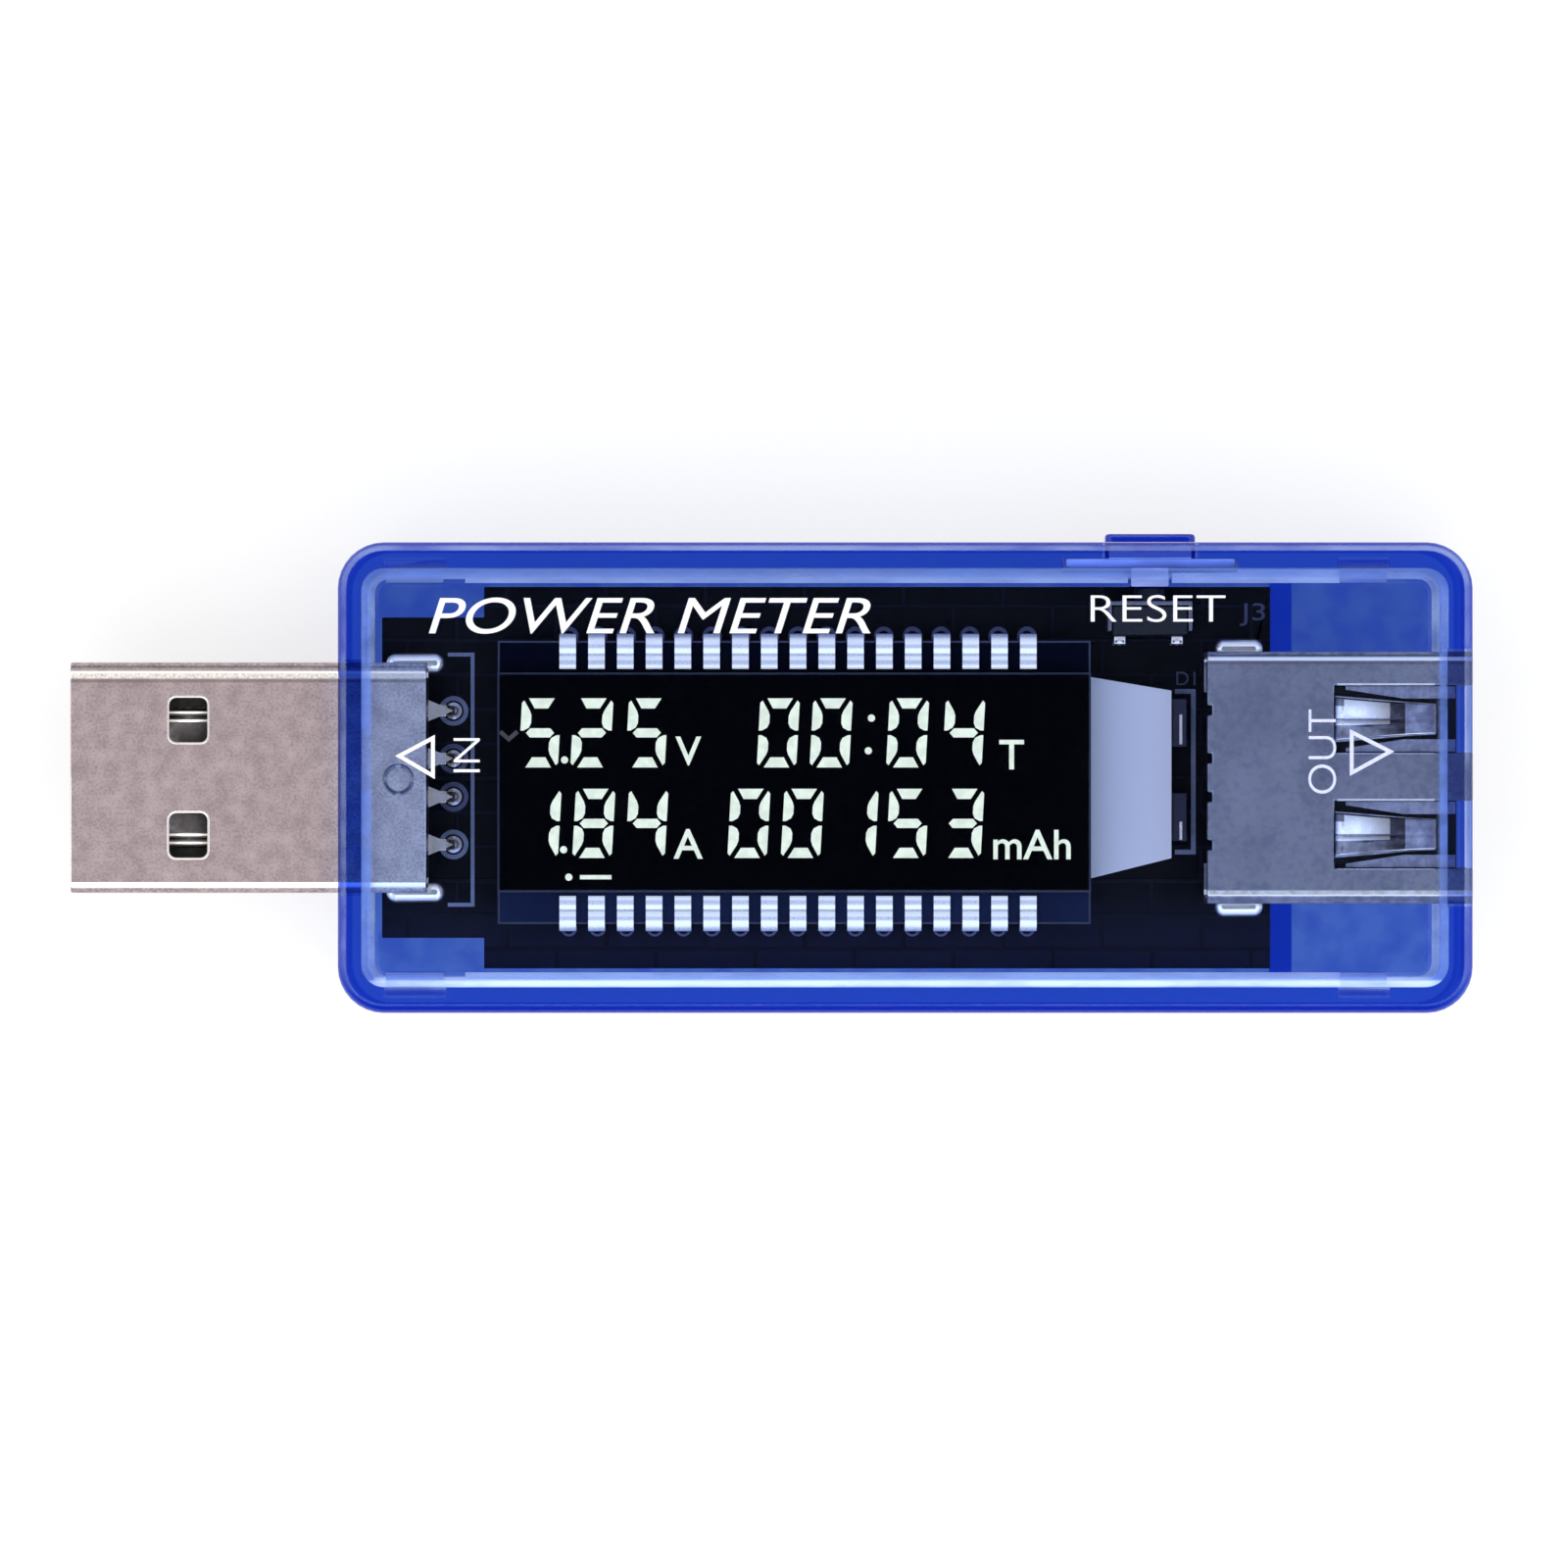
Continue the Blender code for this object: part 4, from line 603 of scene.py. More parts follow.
def moulded(name, colour, rough, depth_mm=0.01):
    """Opaque moulded plastic with a fine spark-eroded grain."""
    shader = Shader(name)
    cloud = shader.remap(shader.noise(2.0, 3.0), 0.3, 0.7)
    darker, lighter = (tuple(channel * share for channel in colour) for share in (0.88, 1.12))
    grain = shader.noise(0.25, 3.0)
    return shader.coated(
        Base_Color=shader.blend(cloud, darker, lighter),
        Roughness=shader.remap(grain, 0.3, 0.7, rough * 0.85, rough * 1.15),
        Normal=shader.bump(grain, depth_mm),
    )


def solder_mask():
    """Black lacquer over copper tracks that show as faint raised lines."""
    shader = Shader("board_lacquer")
    place = shader.add("TexCoord").outputs["Object"]
    tracks = shader.add(
        "TexBrick",
        Vector=shader.add("Mapping", Vector=place, Scale=(1 / MM, 1 / MM, 1 / MM)),
        Color1=BLACK,
        Color2=BLACK,
        Mortar=WHITE,
        Scale=0.5,
        Mortar_Size=0.06,
        Mortar_Smooth=0.3,
        Brick_Width=2.6,
        Row_Height=0.9,
    )
    line = tracks.outputs["Color"]
    _, y, _ = shader.place()
    # The lacquer is lighter towards -Y.
    lighter_towards_low_y = shader.remap(y, -9.5 * MM, -5 * MM, 1.0, 0.0)
    base = shader.blend(lighter_towards_low_y, (0.0010, 0.0010, 0.0026), (0.010, 0.011, 0.030))
    orange_peel = shader.noise(0.5, 2.0)
    height = shader.math("ADD", shader.times(orange_peel, 0.3), line)
    return shader.coated(
        Base_Color=shader.blend(line, base, (0.006, 0.006, 0.014)),
        Roughness=shader.remap(orange_peel, 0.3, 0.7, 0.3, 0.45),
        Specular_IOR_Level=0.15,
        Normal=shader.bump(height, 0.02),
    )


def printed(name, colour, glow=0.0):
    """Ink with slightly uneven cover; glow is painted light that the ink gives off."""
    shader = Shader(name)
    patches = shader.remap(shader.noise(0.25, 3.0), 0.25, 0.6)
    darkened = tuple(channel * 0.85 for channel in colour)
    return shader.coated(
        Base_Color=shader.blend(patches, darkened, colour),
        Roughness=0.6,
        Emission_Color=colour,
        Emission_Strength=glow,
    )


def glass(name, tint, lower_tint):
    """Display glass with a little smear, tinted differently towards -Y."""
    shader = Shader(name)
    smear = shader.noise(4.0, 3.0)
    _, y, _ = shader.place()
    tint = shader.blend(shader.remap(y, -6.2 * MM, -5.0 * MM, 1.0, 0.0), tint, lower_tint)
    darker = shader.blend(0.3, tint, BLACK)
    coat = shader.add(
        "BsdfPrincipled",
        Base_Color=shader.blend(shader.remap(smear, 0.3, 0.7), tint, darker),
        Roughness=shader.remap(smear, 0.3, 0.7, 0.03, 0.12),
        Specular_IOR_Level=0.5,
    )
    through = shader.add("BsdfTransparent", Color=(0.93, 0.96, 0.97))
    return shader.finish(shader.mix(0.1, coat, through))


def lit_segments(name, colour, strength):
    """Liquid crystal that lets the back light through, a little uneven in brightness."""
    shader = Shader(name)
    patches = shader.remap(shader.noise(0.5, 2.0), 0.3, 0.7, 0.9, 1.05)
    return shader.finish(shader.add("Emission", Color=colour, Strength=shader.times(patches, strength)))


def light_guide_acrylic():
    """Milky acrylic, brighter towards the LEDs."""
    shader = Shader("guide_acrylic")
    x, _, _ = shader.place()
    speckle = shader.remap(shader.noise(0.35, 2.0), 0.35, 0.65, 0.93, 1.0)
    return shader.coated(
        Base_Color=shader.blend(speckle, (0.6, 0.6, 0.65), (0.86, 0.80, 0.78)),
        Roughness=0.25,
        Subsurface_Weight=0.2,
        Subsurface_Radius=metres((0.5, 0.5, 0.6)),
        Emission_Color=(1.0, 0.86, 0.78),
        Emission_Strength=shader.remap(x, 9.6 * MM, 14.0 * MM, 0.04, 0.14),
    )


def paper_floor():
    """A pale table that is lit a little from below, so that shadows stay soft."""
    shader = Shader("floor_paper")
    tooth = shader.bump(shader.noise(1.0, 2.0), 0.005)
    paper = shader.add("BsdfDiffuse", Color=PAPER_COLOUR, Normal=tooth)
    lit = shader.add("Emission", Color=WHITE, Strength=PAPER_GLOW)
    return shader.finish(shader.mix(PAPER_GLOW_SHARE, paper, lit))


MATERIALS = {
    "case": case_plastic("case_plastic_clear", CASE_ABSORPTION, EDGE_SHARES[0], LIP_GLOWS),
    "button": case_plastic("button_plastic_clear", BUTTON_ABSORPTION, EDGE_SHARES[1], BUTTON_GLOWS),
    # The plug: painted highlights on its edges and in a line, painted shade in a crease.
    "nickel": metal(
        "nickel_plate", (0.84, 0.75, 0.73), (0.46, 0.40, 0.40), 0.36, 0.15, 0.4,
        darkened=(-30.4, -28.4, PLUG_FRONT_TINT), edges=(1.0, 0.2), lines=PLUG_LINES_MM, creases=PLUG_CREASES_MM,
    ),
    # The socket: painted highlights on one side's edges and in lines, painted shade in creases.
    "socket": metal(
        "nickel_plate_socket", (0.45, 0.41, 0.43), (0.26, 0.25, 0.28), 0.36, 0.5, 0.1,
        edges=(0.0, 0.1), lines=SOCKET_LINES_MM, creases=SOCKET_CREASES_MM,
    ),
    # The springs: painted shade towards their far ends, and a painted highlight on their upper halves.
    "spring": metal(
        "spring_sheet", (0.40, 0.37, 0.37), (0.26, 0.24, 0.25), 0.3, 0.6, 0.05,
        darkened=(25.6, 23.6, SPRING_END_SHADE), edges=NO_EDGES,
    ),
    "glint": metal(
        "spring_glint", (1.0, 0.96, 0.92), (0.85, 0.82, 0.80), 0.26, 0.6, 0.05, 0.9,
        darkened=(25.4, 23.4, SPRING_END_SHADE), glint=0.24, edges=NO_EDGES,
    ),
    # Bright sheets for painted highlights on rims, slot edges, lamp tops and the springs' low edges.
    "soft_rim": metal("faint_highlight_sheet", (0.75, 0.7, 0.72), (0.6, 0.56, 0.58), 0.3, 0.6, 0.05, 0.5),
    "rim": metal("highlight_sheet", (1.0, 0.98, 0.96), (0.9, 0.88, 0.88), 0.24, 0.6, 0.05, 0.6, glint=0.3),
    # Window springs with painted highlight lines on their ridges.
    "window_spring": metal(
        "window_spring_sheet", (0.30, 0.28, 0.29), (0.2, 0.19, 0.2), 0.35, 0.3, 0.1, 0.5,
        edges=NO_EDGES, lines=RIDGE_LINES_MM,
    ),
    "gold": metal("gold_flash", (0.90, 0.70, 0.36), (0.72, 0.52, 0.24), 0.25, 0.2),
    "slot_plate": metal(
        "slot_plate_sheet", (0.5, 0.46, 0.52), (0.3, 0.28, 0.33), 0.4, 0.5, 0.1, 0.5, edges=NO_EDGES
    ),
    # Tin and solder with painted highlights on the faces that look up.
    "tin": metal("tin_plate", (0.92, 0.88, 0.88), (0.78, 0.75, 0.78), 0.3, 0.15, 0.3, 0.45, glint=0.3),
    "solder": metal("solder_tin", (0.98, 0.97, 1.0), (0.75, 0.74, 0.8), 0.18, 0.5, 0.3, 0.9, glint=0.2),
    "steel": metal("switch_steel_sheet", (0.72, 0.72, 0.74), (0.55, 0.55, 0.58), 0.3, 0.2),
    "black": moulded("black_moulding", (0.006, 0.005, 0.005), 0.5),
    "led": moulded("led_moulding", (0.05, 0.045, 0.09), 0.4),
    "ceramic": moulded("brown_ceramic", (0.30, 0.20, 0.12), 0.5),
    "film": moulded("reflector_sheet", (0.85, 0.85, 0.88), 0.3, 0.003),
    "polariser": moulded("polariser_sheet", (0.0012, 0.0012, 0.0018), 0.12, 0.001),
    "board": solder_mask(),
    "acrylic": light_guide_acrylic(),
    "front_glass": glass("front_glass_sheet", (0.004, 0.004, 0.008), (0.004, 0.004, 0.008)),
    "rear_glass": glass("rear_glass_ledge", (0.006, 0.007, 0.016), (0.026, 0.036, 0.085)),
    # Inks that give off a little painted light.
    "cover_ink": printed("cover_ink", (0.84, 0.85, 0.94), 0.06),
    "soft_ink": printed("soft_ink", (0.60, 0.64, 0.84), 0.08),
    "legend": printed("board_legend", (0.30, 0.31, 0.42)),
    "dim_legend": printed("board_legend_dim", (0.10, 0.10, 0.17)),
    "pad_ring": printed("pad_ring_copper", (0.16, 0.15, 0.26)),
    # Painted highlight along the glass rims.
    "glass_rim": printed("glass_rim_light", (0.055, 0.055, 0.085)),
    "segment": lit_segments("display_segment_lit", (0.98, 1.0, 0.73), 1.33),
    "dim_segment": lit_segments("display_segment_dim", (1.0, 0.9, 0.95), 0.10),
}


# Mesh helpers.


def add_piece(name, shape, materials, body="housing", stands_for=(), smooth=True):
    """Turns a bmesh drawn in the CAD's frame into a piece that rides on a CAD body."""
    mesh = bpy.data.meshes.new(name)
    bmesh.ops.recalc_face_normals(shape, faces=shape.faces)
    shape.to_mesh(mesh)
    shape.free()
    obj = bpy.data.objects.new(name, mesh)
    bpy.context.scene.collection.objects.link(obj)
    for key in materials if isinstance(materials, tuple) else (materials,):
        mesh.materials.append(MATERIALS[key])
    if smooth:
        mesh.shade_smooth()
        mesh.set_sharp_from_angle(angle=SHARP)
        even_normals(obj)
    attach(obj, body)
    if stands_for:
        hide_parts(*stands_for)
    return obj


def even_normals(obj):
    """Keeps the shading of large flat faces flat where rounded edges meet them."""
    modifier = obj.modifiers.new("even_normals", "WEIGHTED_NORMAL")
    modifier.mode = "FACE_AREA_WITH_ANGLE"
    modifier.weight = NORMAL_WEIGHT
    modifier.keep_sharp = True


def thicken(obj, thickness, offset):
    """Gives an open skin the thickness of sheet metal."""
    modifier = obj.modifiers.new("sheet", "SOLIDIFY")
    modifier.thickness = thickness
    modifier.offset = offset


def cad_copy(node):
    """A CAD node's shape with its triangles joined up again into whole faces."""
    shape = bmesh.new()
    shape.from_mesh(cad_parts[node].data)
    bmesh.ops.remove_doubles(shape, verts=shape.verts, dist=TOLERANCE)
    bmesh.ops.dissolve_limit(shape, angle_limit=FLAT_ANGLE, verts=shape.verts, edges=shape.edges)
    return shape


def round_edges(shape, width):
    """Rounds every sharp edge."""
    edges = (edge for edge in shape.edges if len(edge.link_faces) == 2)
    sharp = [edge for edge in edges if edge.calc_face_angle() > SHARP]
    bmesh.ops.bevel(
        shape, geom=sharp, offset=width, segments=2, profile=0.5, affect="EDGES", clamp_overlap=False
    )
    return shape


def finer(node, name, material, rounding_mm, body="housing"):
    """A CAD node's shape with rounded edges, standing for the node."""
    shape = round_edges(cad_copy(node), rounding_mm * MM)
    add_piece(name, shape, material, body, stands_for=(node,))


def add_skin(shape, rows, closed=False, around=True):
    """Faces between neighbouring rows of corners. closed joins the last row to the first,
    and around joins each row's end to its start."""
    rows = [[shape.verts.new(corner) for corner in row] for row in rows]
    followers = rows[1:] + rows[:1] if closed else rows[1:]
    for first, second in zip(rows, followers):
        for index in range(len(first) if around else len(first) - 1):
            after = (index + 1) % len(first)
            shape.faces.new((first[index], first[after], second[after], second[index]))
    return rows


def add_tube(shape, rings):
    """Walls between neighbouring rings, with a cap on each end."""
    rings = add_skin(shape, rings)
    shape.faces.new(rings[0][::-1])
    shape.faces.new(rings[-1])


def add_prism(shape, outline, low_z, high_z):
    """A flat outline stood up between two heights."""
    add_tube(shape, [[(x, y, z) for x, y in outline] for z in (low_z, high_z)])


def circle(middle, radius, z, sides):
    """Corners on a level circle."""
    turns = [2 * math.pi * step / sides for step in range(sides)]
    x, y = middle
    return [(x + radius * math.cos(turn), y + radius * math.sin(turn), z) for turn in turns]


def add_turned(shape, middle, profile, sides=20):
    """A profile of (radius, height) pairs, turned round an upright axis."""
    add_tube(shape, [circle(middle, radius, z, sides) for radius, z in profile])


def stroke_sides(points, width, closed=False):
    """The two sides of a line of even width with mitred corners."""
    points = [Vector(point) for point in points]
    last = len(points) - 1
    left, right = [], []
    for index, point in enumerate(points):
        back = point - points[index - 1]
        ahead = points[(index + 1) % len(points)] - point
        if not closed and index == 0:
            back = ahead
        if not closed and index == last:
            ahead = back
        before = back.normalized().orthogonal()
        mitre = (before + ahead.normalized().orthogonal()).normalized()
        reach = width / 2 / max(mitre.dot(before), MITRE_LIMIT)
        left.append(tuple(point + mitre * reach))
        right.append(tuple(point - mitre * reach))
    return left, right


def add_line(shape, points, width, low_z, high_z):
    """A raised line."""
    left, right = stroke_sides(points, width)
    add_prism(shape, left + right[::-1], low_z, high_z)


def add_outline(shape, corners, width, z):
    """A closed printed line whose face is at z."""
    left, right = stroke_sides(corners, width, closed=True)
    low_z = z - INK_HEIGHT
    rings = ((left, low_z), (right, low_z), (right, z), (left, z))
    add_skin(shape, [[(*point, height) for point in ring] for ring, height in rings], closed=True)


def add_text(name, text, ink, size, place, turn=0.0, shear=0.0, stretch=1.0, weight=0.0):
    """Raised lettering in the built-in font; size is its capital height and place its
    lower left corner."""
    curve = bpy.data.curves.new(name, "FONT")
    curve.body = text
    curve.size = size / CAPITAL_SHARE
    curve.shear = shear
    curve.offset = weight
    curve.extrude = LETTER_HEIGHT
    curve.materials.append(MATERIALS[ink])
    obj = bpy.data.objects.new(name, curve)
    bpy.context.scene.collection.objects.link(obj)
    turned = Matrix.Rotation(turn, 4, "Z") @ Matrix.Diagonal((stretch, 1, 1, 1))
    obj.matrix_world = Matrix.Translation(place) @ turned
    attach(obj, "housing")


# Case and button.


def face_frost_and_painted_light(face):
    """How much the face scatters, 1 on an inner fillet with a painted highlight, and which
    side of it gets painted shade.
    """
    middle = face.calc_center_median()
    if face.normal.z > FLAT:
        for height, scatter in SCATTERING_HEIGHTS:
            if abs(middle.z - height) < NEAR:
                return scatter, 0.0, 0.0
        if abs(middle.z - FLOOR_Z) < NEAR:
            return FRONT_SHADED
    if face.normal.z < -FLAT and middle.x < -CAVITY_HALF_X and middle.z > PLUG_TOP:
        return BACK_SHADED
    if face.normal.z < -FLAT and middle.x > CAVITY_HALF_X and middle.z > SOCKET_TOP:
        return BACK_PART_SHADED
    is_inner = abs(middle.x) < CAVITY_HALF_X and abs(middle.y) < CAVITY_HALF_Y
    return FILLET if is_inner and NEAR < middle.z < COVER_TOP - NEAR else CLEAR


def button_frost_and_glow(face):
    """The flange's top and the inner end of the stem are frosted, and their frost gives off
    painted light.
    """
    y = face.calc_center_median().y
    frosts = [share for limit, share in BUTTON_FROST if y < limit and face.normal.z > FLAT]
    return (frosts[0] if frosts else 0.0, 0.0, 0.0)


def add_plastic(node, name, shape, material, frost_and_light_of, body="housing"):
    """A piece of the blue plastic whose faces carry the frost, painted highlight and painted
    shade that the given function gives.
    """
    layer = shape.faces.layers.float_vector.new(FROST_AND_PAINTED_LIGHT)
    for face in shape.faces:
        face[layer] = frost_and_light_of(face)
    add_piece(name, shape, material, body, stands_for=(node,))


def build_case():
    for node, name in (("top_cover", "cover_plastic"), ("bottom_shell", "base_plastic")):
        add_plastic(node, name, cad_copy(node), "case", face_frost_and_painted_light)


def build_button():
    shape = round_edges(cad_copy("reset_button"), BUTTON_EDGE_MM * MM)
    geometry = shape.verts[:] + shape.edges[:] + shape.faces[:]
    bmesh.ops.bisect_plane(shape, geom=geometry, plane_co=(0, STEM_Y, 0), plane_no=(0, 1, 0))
    add_plastic("reset_button", "button_cap", shape, "button", button_frost_and_glow, "button")


def build_kept_shapes():
    for node, piece, fills, material, slot, rounding_mm in KEPT_SHAPES:
        for fill in fills:
            finer(node.format(fill), piece.format(fill), material, rounding_mm)
    finer("reset_switch_plunger", "switch_plunger", "black", 0.08, "plunger")


# Connectors.


def build_window_springs():
    """Bent strips behind the plug's windows."""
    for number, side in ((1, 1), (2, -1)):
        shape = bmesh.new()
        section = [(side * y, z) for y, z in WINDOW_SPRING_YZ_MM]
        add_skin(shape, [[metres((x, *yz)) for yz in section] for x in WINDOW_SPRING_X_MM], around=False)
        name = f"plug_window_spring_{number}"
        thicken(add_piece(name, shape, "window_spring"), WINDOW_SHEET, -side)


def rounded_outline(middle_mm, half_mm, corner_mm, steps):
    """A rectangle with rounded corners, counter-clockwise."""
    points = []
    for quarter, (side_x, side_y) in enumerate(((1, 1), (-1, 1), (-1, -1), (1, -1))):
        for step in range(steps + 1):
            angle = (quarter + step / steps) * math.pi / 2
            x = middle_mm[0] + side_x * (half_mm[0] - corner_mm) + corner_mm * math.cos(angle)
            y = middle_mm[1] + side_y * (half_mm[1] - corner_mm) + corner_mm * math.sin(angle)
            points.append(metres((x, y)))
    return points


def add_rim(shape, outline, spread_mm, rise_mm):
    """A raised rim on the plug's top that follows a closed outline, spread on each side."""
    middle = sum((Vector(point) for point in outline), Vector((0, 0))) / len(outline)
    low_z, high_z = PLUG_TOP - RIM_SINK, PLUG_TOP + rise_mm * MM
    rings = []
    for spread, z in ((-spread_mm * MM, low_z), (0.0, high_z), (spread_mm * MM, low_z)):
        outwards = [(Vector(point) - middle).normalized() for point in outline]
        rings.append([(*(Vector(point) + way * spread), z) for point, way in zip(outline, outwards)])
    add_skin(shape, rings, closed=True)


def build_plug_details():
    """Rolled rims of the windows with a painted highlight and of the round hole, the plate below
    it, and black plates beside the windows as painted shade.
    """
    rims, hole_rim, plate, shades = (bmesh.new() for _ in range(4))
    x, y = WINDOW_MIDDLE_MM
    for side in (1, -1):
        outline = rounded_outline((x, side * y), WINDOW_HALF_MM, WINDOW_CORNER_MM, steps=5)
        add_rim(rims, outline, *WINDOW_RIM_MM)
        corners = [metres((x, side * y)) for x, y in WINDOW_SHADE_MM]
        add_prism(shades, corners[::side], *metres(WINDOW_SHADE_Z_MM))
    hole = rounded_outline(HOLE_MIDDLE_MM, (HOLE_RADIUS_MM, HOLE_RADIUS_MM), HOLE_RADIUS_MM, steps=7)
    add_rim(hole_rim, hole, *HOLE_RIM_MM)
    radius = HOLE_RADIUS_MM * HOLE_PLATE_SCALE * MM
    profile = [(radius, PLUG_TOP - depth) for depth in metres(HOLE_PLATE_DEPTHS_MM)]
    add_turned(plate, metres(HOLE_MIDDLE_MM), profile, RING_SIDES)
    add_piece("plug_rims", rims, "rim")
    add_piece("plug_hole_rim", hole_rim, "spring")
    add_piece("plug_hole_plate", plate, "nickel")
    add_piece("plug_window_shades", shades, "black", smooth=False)


def build_slot_plates():
    """The socket shell's inner plates, seen through the slots beside the springs."""
    shape = bmesh.new()
    heights = [SOCKET_CORE_TOP + rise for rise in metres(SLOT_PLATE_RISE_MM)]
    for middle in SPRING_MIDDLES_MM:
        for side in (1, -1):
            corners = [metres((x, middle + side * y)) for x, y in SLOT_PLATE_MM]
            add_prism(shape, corners[::side], *heights)
    add_piece("socket_inner_plates", shape, "slot_plate", smooth=False)


def spring_skin(point, middle_mm, is_low_edge):
    """Which of SPRING_SKINS a face of a spring wears. Besides the plain sheet they are a painted
    highlight, painted shade at the far end and a painted highlight line on the low edge.
    """
    across = point.y / MM - middle_mm
    if is_low_edge:
        return LOW_EDGE_SKIN
    if point.x > SPRING_END_X:
        return END_SKIN
    is_glinting = point.x < GLINT_END_X and any(low < across < high for low, high in GLINT_BANDS_MM)
    return GLINT_SKIN if is_glinting else PLAIN_SKIN


def build_socket_springs():
    """Formed skins over the socket's spring tongues."""
    top = SOCKET_TOP + SPRING_LIFT
    per_row = len(SPRING_PROFILE_MM) - 1
    for number, middle in enumerate(SPRING_MIDDLES_MM, start=1):
        shape = bmesh.new()
        rows = []
        for x, half, depth, share in SPRING_STATIONS_MM:
            section = [metres((x, middle + half * y, depth + z * share)) for y, z in SPRING_PROFILE_MM]
            rows.append([(x, y, top + z) for x, y, z in section])
        add_skin(shape, rows, around=False)
        for index, face in enumerate(shape.faces):
            is_low_edge = index % per_row == per_row - 1
            face.material_index = spring_skin(face.calc_center_median(), middle, is_low_edge)
        skin = add_piece(f"socket_spring_{number}", shape, SPRING_SKINS)
        thicken(skin, SPRING_SHEET, -1)


# Board.


def add_joint(shape, place, size_mm, up):
    """A solder cone round a lead; up is 1 on the board's top and -1 underneath."""
    base = ON_BOARD if up > 0 else BOARD_UNDER
    radius, height = metres(size_mm)
    profile = [(radius * share, base + up * height * rise) for share, rise in JOINT_STEPS]
    add_turned(shape, place, profile)


def add_ring(shape, place, radii_mm):
    """A flat ring on the board's top."""
    outer, inner = metres(radii_mm)
    profile = ((inner, SILK_LOW), (outer, SILK_LOW), (outer, SILK_HIGH), (inner, SILK_HIGH))
    add_skin(shape, [circle(place, radius, z, RING_SIDES) for radius, z in profile], closed=True)


def add_tab_joint(shape, place, length, width, up):
    """A long bead of solder round a shell's leg."""
    base = ON_BOARD if up > 0 else BOARD_UNDER
    reach = (length - width) / 2
    rings = []
    for share, rise_mm in TAB_JOINT_STEPS_MM:
        z = base + up * rise_mm * MM
        ring = circle((0.0, 0.0), share * width / 2, z, TAB_JOINT_SIDES)
        rings.append([(place[0] + x + math.copysign(reach, x), place[1] + y, z) for x, y, z in ring])
    add_tube(shape, rings)


def build_solder():
    top, under, rings, bright_rings = (bmesh.new() for _ in range(4))
    for places_x, places_y, size_mm, up in JOINTS_MM:
        for x, y in itertools.product(places_x, places_y):
            add_joint(top if up > 0 else under, metres((x, y)), size_mm, up)
    # The outer tails' rings are painted bright as a highlight.
    for y in TAIL_Y_MM:
        shape = bright_rings if abs(y) > OUTER_TAIL_Y_MM else rings
        add_ring(shape, metres((PLUG_TAIL_X_MM, y)), TAIL_RING_MM)
    for side, *radii_mm in PIN_RINGS_MM:
        for x, y, length_mm in TAB_JOINTS_MM:
            for shape, width_mm, up in zip((top, under), TAB_JOINT_WIDTHS_MM, (1, -1)):
                add_tab_joint(shape, metres((x, side * y)), length_mm * MM, width_mm * MM, up)
        for x in pin_places():
            place = (x, PIN_MIDDLE_Y + side * PIN_LEG_Y)
            add_joint(under, place, PIN_JOINT_MM, -1)
            add_ring(rings, place, radii_mm)
    add_piece("solder_joints_top", top, "solder")
    add_piece("solder_joints_under", under, "solder")
    add_piece("pad_rings", rings, "pad_ring")
    add_piece("bright_pad_rings", bright_rings, "legend")


def build_tails():
    """The plug contacts' tapered ends, plated with tin."""
    shape = bmesh.new()
    for y in TAIL_Y_MM:
        add_prism(shape, [metres((x, y + shift)) for x, shift in TAIL_PLATE_MM], *TAIL_PLATE_Z)
    add_piece("plug_tail_plates", round_edges(shape, TAIL_EDGE), "solder")


def build_lines():
    for name, material, slot, z, width_mm, lines_mm in LINES_MM:
        shape = bmesh.new()
        for line_mm in lines_mm:
            add_line(shape, map(metres, line_mm), width_mm * MM, z - HALF_LINE, z + HALF_LINE)
        add_piece(name, shape, material, smooth=False)


# Display.


def pin_places():
    first = (PIN_UPPER[0].x + PIN_UPPER[1].x) / 2 - (PIN_COUNT - 1) / 2 * PIN_PITCH
    return [first + index * PIN_PITCH for index in range(PIN_COUNT)]


def offset_path(path, reach):
    """The path moved sideways by reach."""
    moved = []
    for index, point in enumerate(path):
        before = path[max(index - 1, 0)]
        after = path[min(index + 1, len(path) - 1)]
        moved.append(point + (after - before).normalized().orthogonal() * reach)
    return moved


def add_clip(shape, x, side):
    """A clip of bent sheet, wide on the glass and narrow in its leg."""
    path = [Vector(metres(point)) for point in PIN_PATH_MM]
    outer, inner = (offset_path(path, reach) for reach in (PIN_SHEET / 2, -PIN_SHEET / 2))
    rings = []
    for outside, inside in zip(outer, inner):
        ring = []
        for (y, z), edge in ((outside, -1), (outside, 1), (inside, 1), (inside, -1)):
            width = PIN_WIDTH if z > PIN_NARROW_Z else PIN_LEG_WIDTH
            ring.append((x + edge * width / 2, PIN_MIDDLE_Y + side * y, z))
        rings.append(ring)
    add_tube(shape, rings)


def build_pins():
    for name, side in (("upper", 1), ("lower", -1)):
        shape = bmesh.new()
        for x in pin_places():
            add_clip(shape, x, side)
        add_piece(f"clips_{name}", shape, "tin", stands_for=(f"display_pins_{name}",))


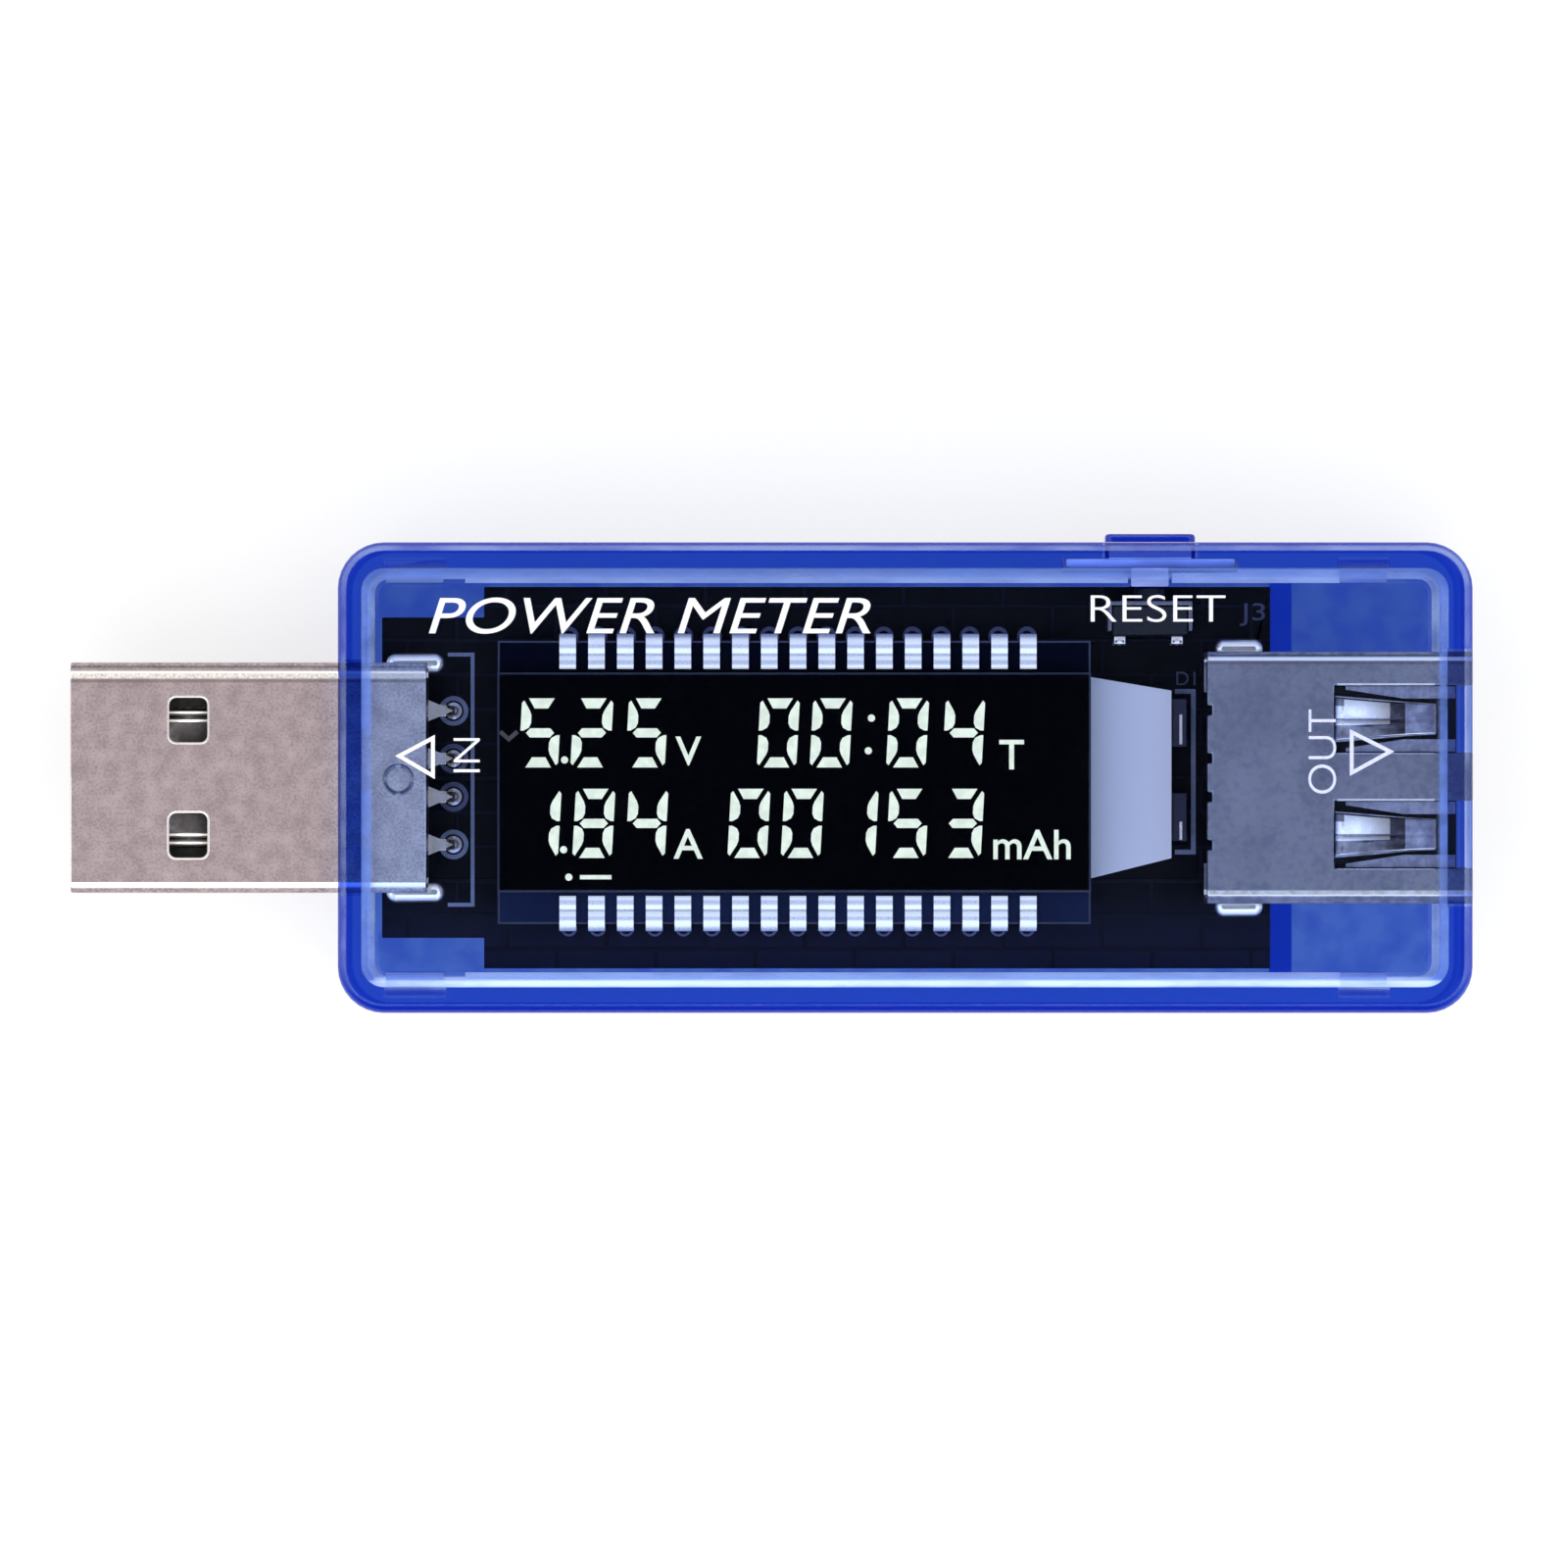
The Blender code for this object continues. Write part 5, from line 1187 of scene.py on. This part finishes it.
def segment_outlines():
    """The seven segments of one upright digit, in millimetres from its lower left corner."""
    width, height = DIGIT_SIZE_MM
    stroke, gap, middle = DIGIT_STROKE_MM, DIGIT_GAP_MM, height / 2
    left, inner_left = DIGIT_SHOULDER_MM + gap * 2, stroke + gap * 1.2
    low = height - stroke
    top = ((left, height), (width - left, height), (width - inner_left, low), (inner_left, low))
    upper_left = (
        (0.0, height - stroke * 0.45), (DIGIT_SHOULDER_MM, height - stroke * 0.22),
        (stroke * 0.85, height - stroke * 1.25), (stroke, height - stroke * 1.7),
        (stroke, middle + stroke * 0.95), (stroke * 0.8, middle + stroke * 0.5),
        (stroke * 0.3, middle + gap), (0.0, middle + gap),
    )
    half_bar = tuple(
        (stroke * x, middle + stroke * y) for x, y in ((0.95, -0.45), (0.55, 0.0), (0.95, 0.45))
    )

    def flip_x(points):
        return tuple((width - x, y) for x, y in points)

    def flip_y(points):
        return tuple((x, height - y) for x, y in points)

    return {
        "a": top,
        "b": flip_x(upper_left),
        "c": flip_y(flip_x(upper_left)),
        "d": flip_y(top),
        "e": flip_y(upper_left),
        "f": upper_left,
        "g": half_bar + flip_x(half_bar[::-1]),
    }


def display_points(points_mm):
    return [(FRONT_LOW.x + x * MM, DISPLAY_MIDDLE_Y + y * MM) for x, y in points_mm]


def build_glass_rims():
    """Painted highlights along the rims of both display glasses."""
    shape = bmesh.new()
    for low, high in ((FRONT_LOW, FRONT_HIGH), (REAR_LOW, REAR_HIGH)):
        west, south = low.x + GLASS_RIM_INSET, low.y + GLASS_RIM_INSET
        east, north = high.x - GLASS_RIM_INSET, high.y - GLASS_RIM_INSET
        corners = ((west, south), (east, south), (east, north), (west, north))
        add_outline(shape, corners, GLASS_RIM_WIDTH, high.z + GLASS_RIM_RISE)
    add_piece("glass_rim_lines", shape, "glass_rim", smooth=False)


def build_digits():
    """The lit segments lie on the front polariser."""
    heights = (FILM_TOP, FILM_TOP + INK_HEIGHT)
    outlines = segment_outlines()
    shape, dim = bmesh.new(), bmesh.new()
    for lower, digits, lefts in DIGIT_ROWS_MM:
        for digit, left in zip(digits, lefts):
            for segment in SEGMENTS_OF[digit]:
                outline = [(left + x + DIGIT_SLANT * y, lower + y) for x, y in outlines[segment]]
                add_prism(shape, display_points(outline), *heights)
    for spot in display_points(DOTS_MM):
        add_turned(shape, spot, [(DOT_RADIUS, z) for z in heights], DOT_SIDES)
    add_line(shape, display_points(DASH_MM), MARK_WIDTH, *heights)
    add_line(dim, display_points(DIM_MARK_MM), MARK_WIDTH, *heights)
    add_piece("display_digits", shape, "segment", smooth=False)
    add_piece("display_dim_mark", dim, "dim_segment", smooth=False)
    for text, x, y, height in UNITS_MM:
        place = (*display_points([(x, y)])[0], heights[1])
        add_text(f"display_unit_{text.lower()}", text, "segment", height * MM, place, weight=UNIT_WEIGHT)


# Printing.


def build_lettering():
    """Lettering on the cover and on the board."""
    for name, text, ink, size, x, y, z, options in TEXTS_MM:
        add_text(name, text, ink, size * MM, (x * MM, y * MM, z), **options)


def build_arrows():
    for name, ink, corners_mm in ARROWS_MM:
        shape = bmesh.new()
        add_outline(shape, [metres(corner) for corner in corners_mm], ARROW_STROKE, PRINT_Z)
        add_piece(name, shape, ink, smooth=False)


# Stage.


def build_floor():
    mesh = bpy.data.meshes.new("floor")
    sides = ((-1, -1), (1, -1), (1, 1), (-1, 1))
    corners = [(x * FLOOR_HALF, y * FLOOR_HALF, -FLOOR_DROP) for x, y in sides]
    mesh.from_pydata(corners, [], [(0, 1, 2, 3)])
    mesh.materials.append(paper_floor())
    floor = bpy.data.objects.new("floor", mesh)
    bpy.context.scene.collection.objects.link(floor)


def build_sky():
    """Soft studio light: bright all round, darker towards +Y and straight overhead. The
    camera sees a plain white backdrop instead."""
    world = bpy.data.worlds.new("studio")
    bpy.context.scene.world = world
    sky = Shader("studio", world)
    _, y, z = sky.place("Generated")
    strength = sky.times(sky.remap(z, *SKY_OVERHEAD), sky.remap(z, *SKY_HEIGHT))
    strength = sky.times(strength, sky.remap(y, *SKY_SIDE))
    light = sky.add("Background", Color=SKY_COLOUR, Strength=strength)
    backdrop = sky.add("Background", Color=WHITE, Strength=PAPER_GLOW)
    is_camera = sky.add("LightPath").outputs["Is Camera Ray"]
    sky.add("OutputWorld", Surface=sky.mix(is_camera, light, backdrop))


def build_camera():
    camera = bpy.data.objects.new("camera", bpy.data.cameras.new("camera"))
    bpy.context.scene.collection.objects.link(camera)
    camera.location = (*VIEW_MIDDLE, CAMERA_HEIGHT)
    camera.data.sensor_width = SENSOR_MM
    camera.data.lens = SENSOR_MM * (CAMERA_HEIGHT - VIEW_PLANE_Z) / VIEW_SIZE
    camera.data.clip_start, camera.data.clip_end = CLIP_RANGE
    bpy.context.scene.camera = camera


def set_look():
    scene = bpy.context.scene
    scene.view_settings.view_transform = "Standard"
    scene.cycles.transparent_max_bounces = CLEAR_LAYERS


build_case()
build_button()
build_kept_shapes()
build_window_springs()
build_plug_details()
build_slot_plates()
build_socket_springs()
build_solder()
build_tails()
build_lines()
build_pins()
build_glass_rims()
build_digits()
build_lettering()
build_arrows()
build_floor()
build_sky()
build_camera()
set_look()
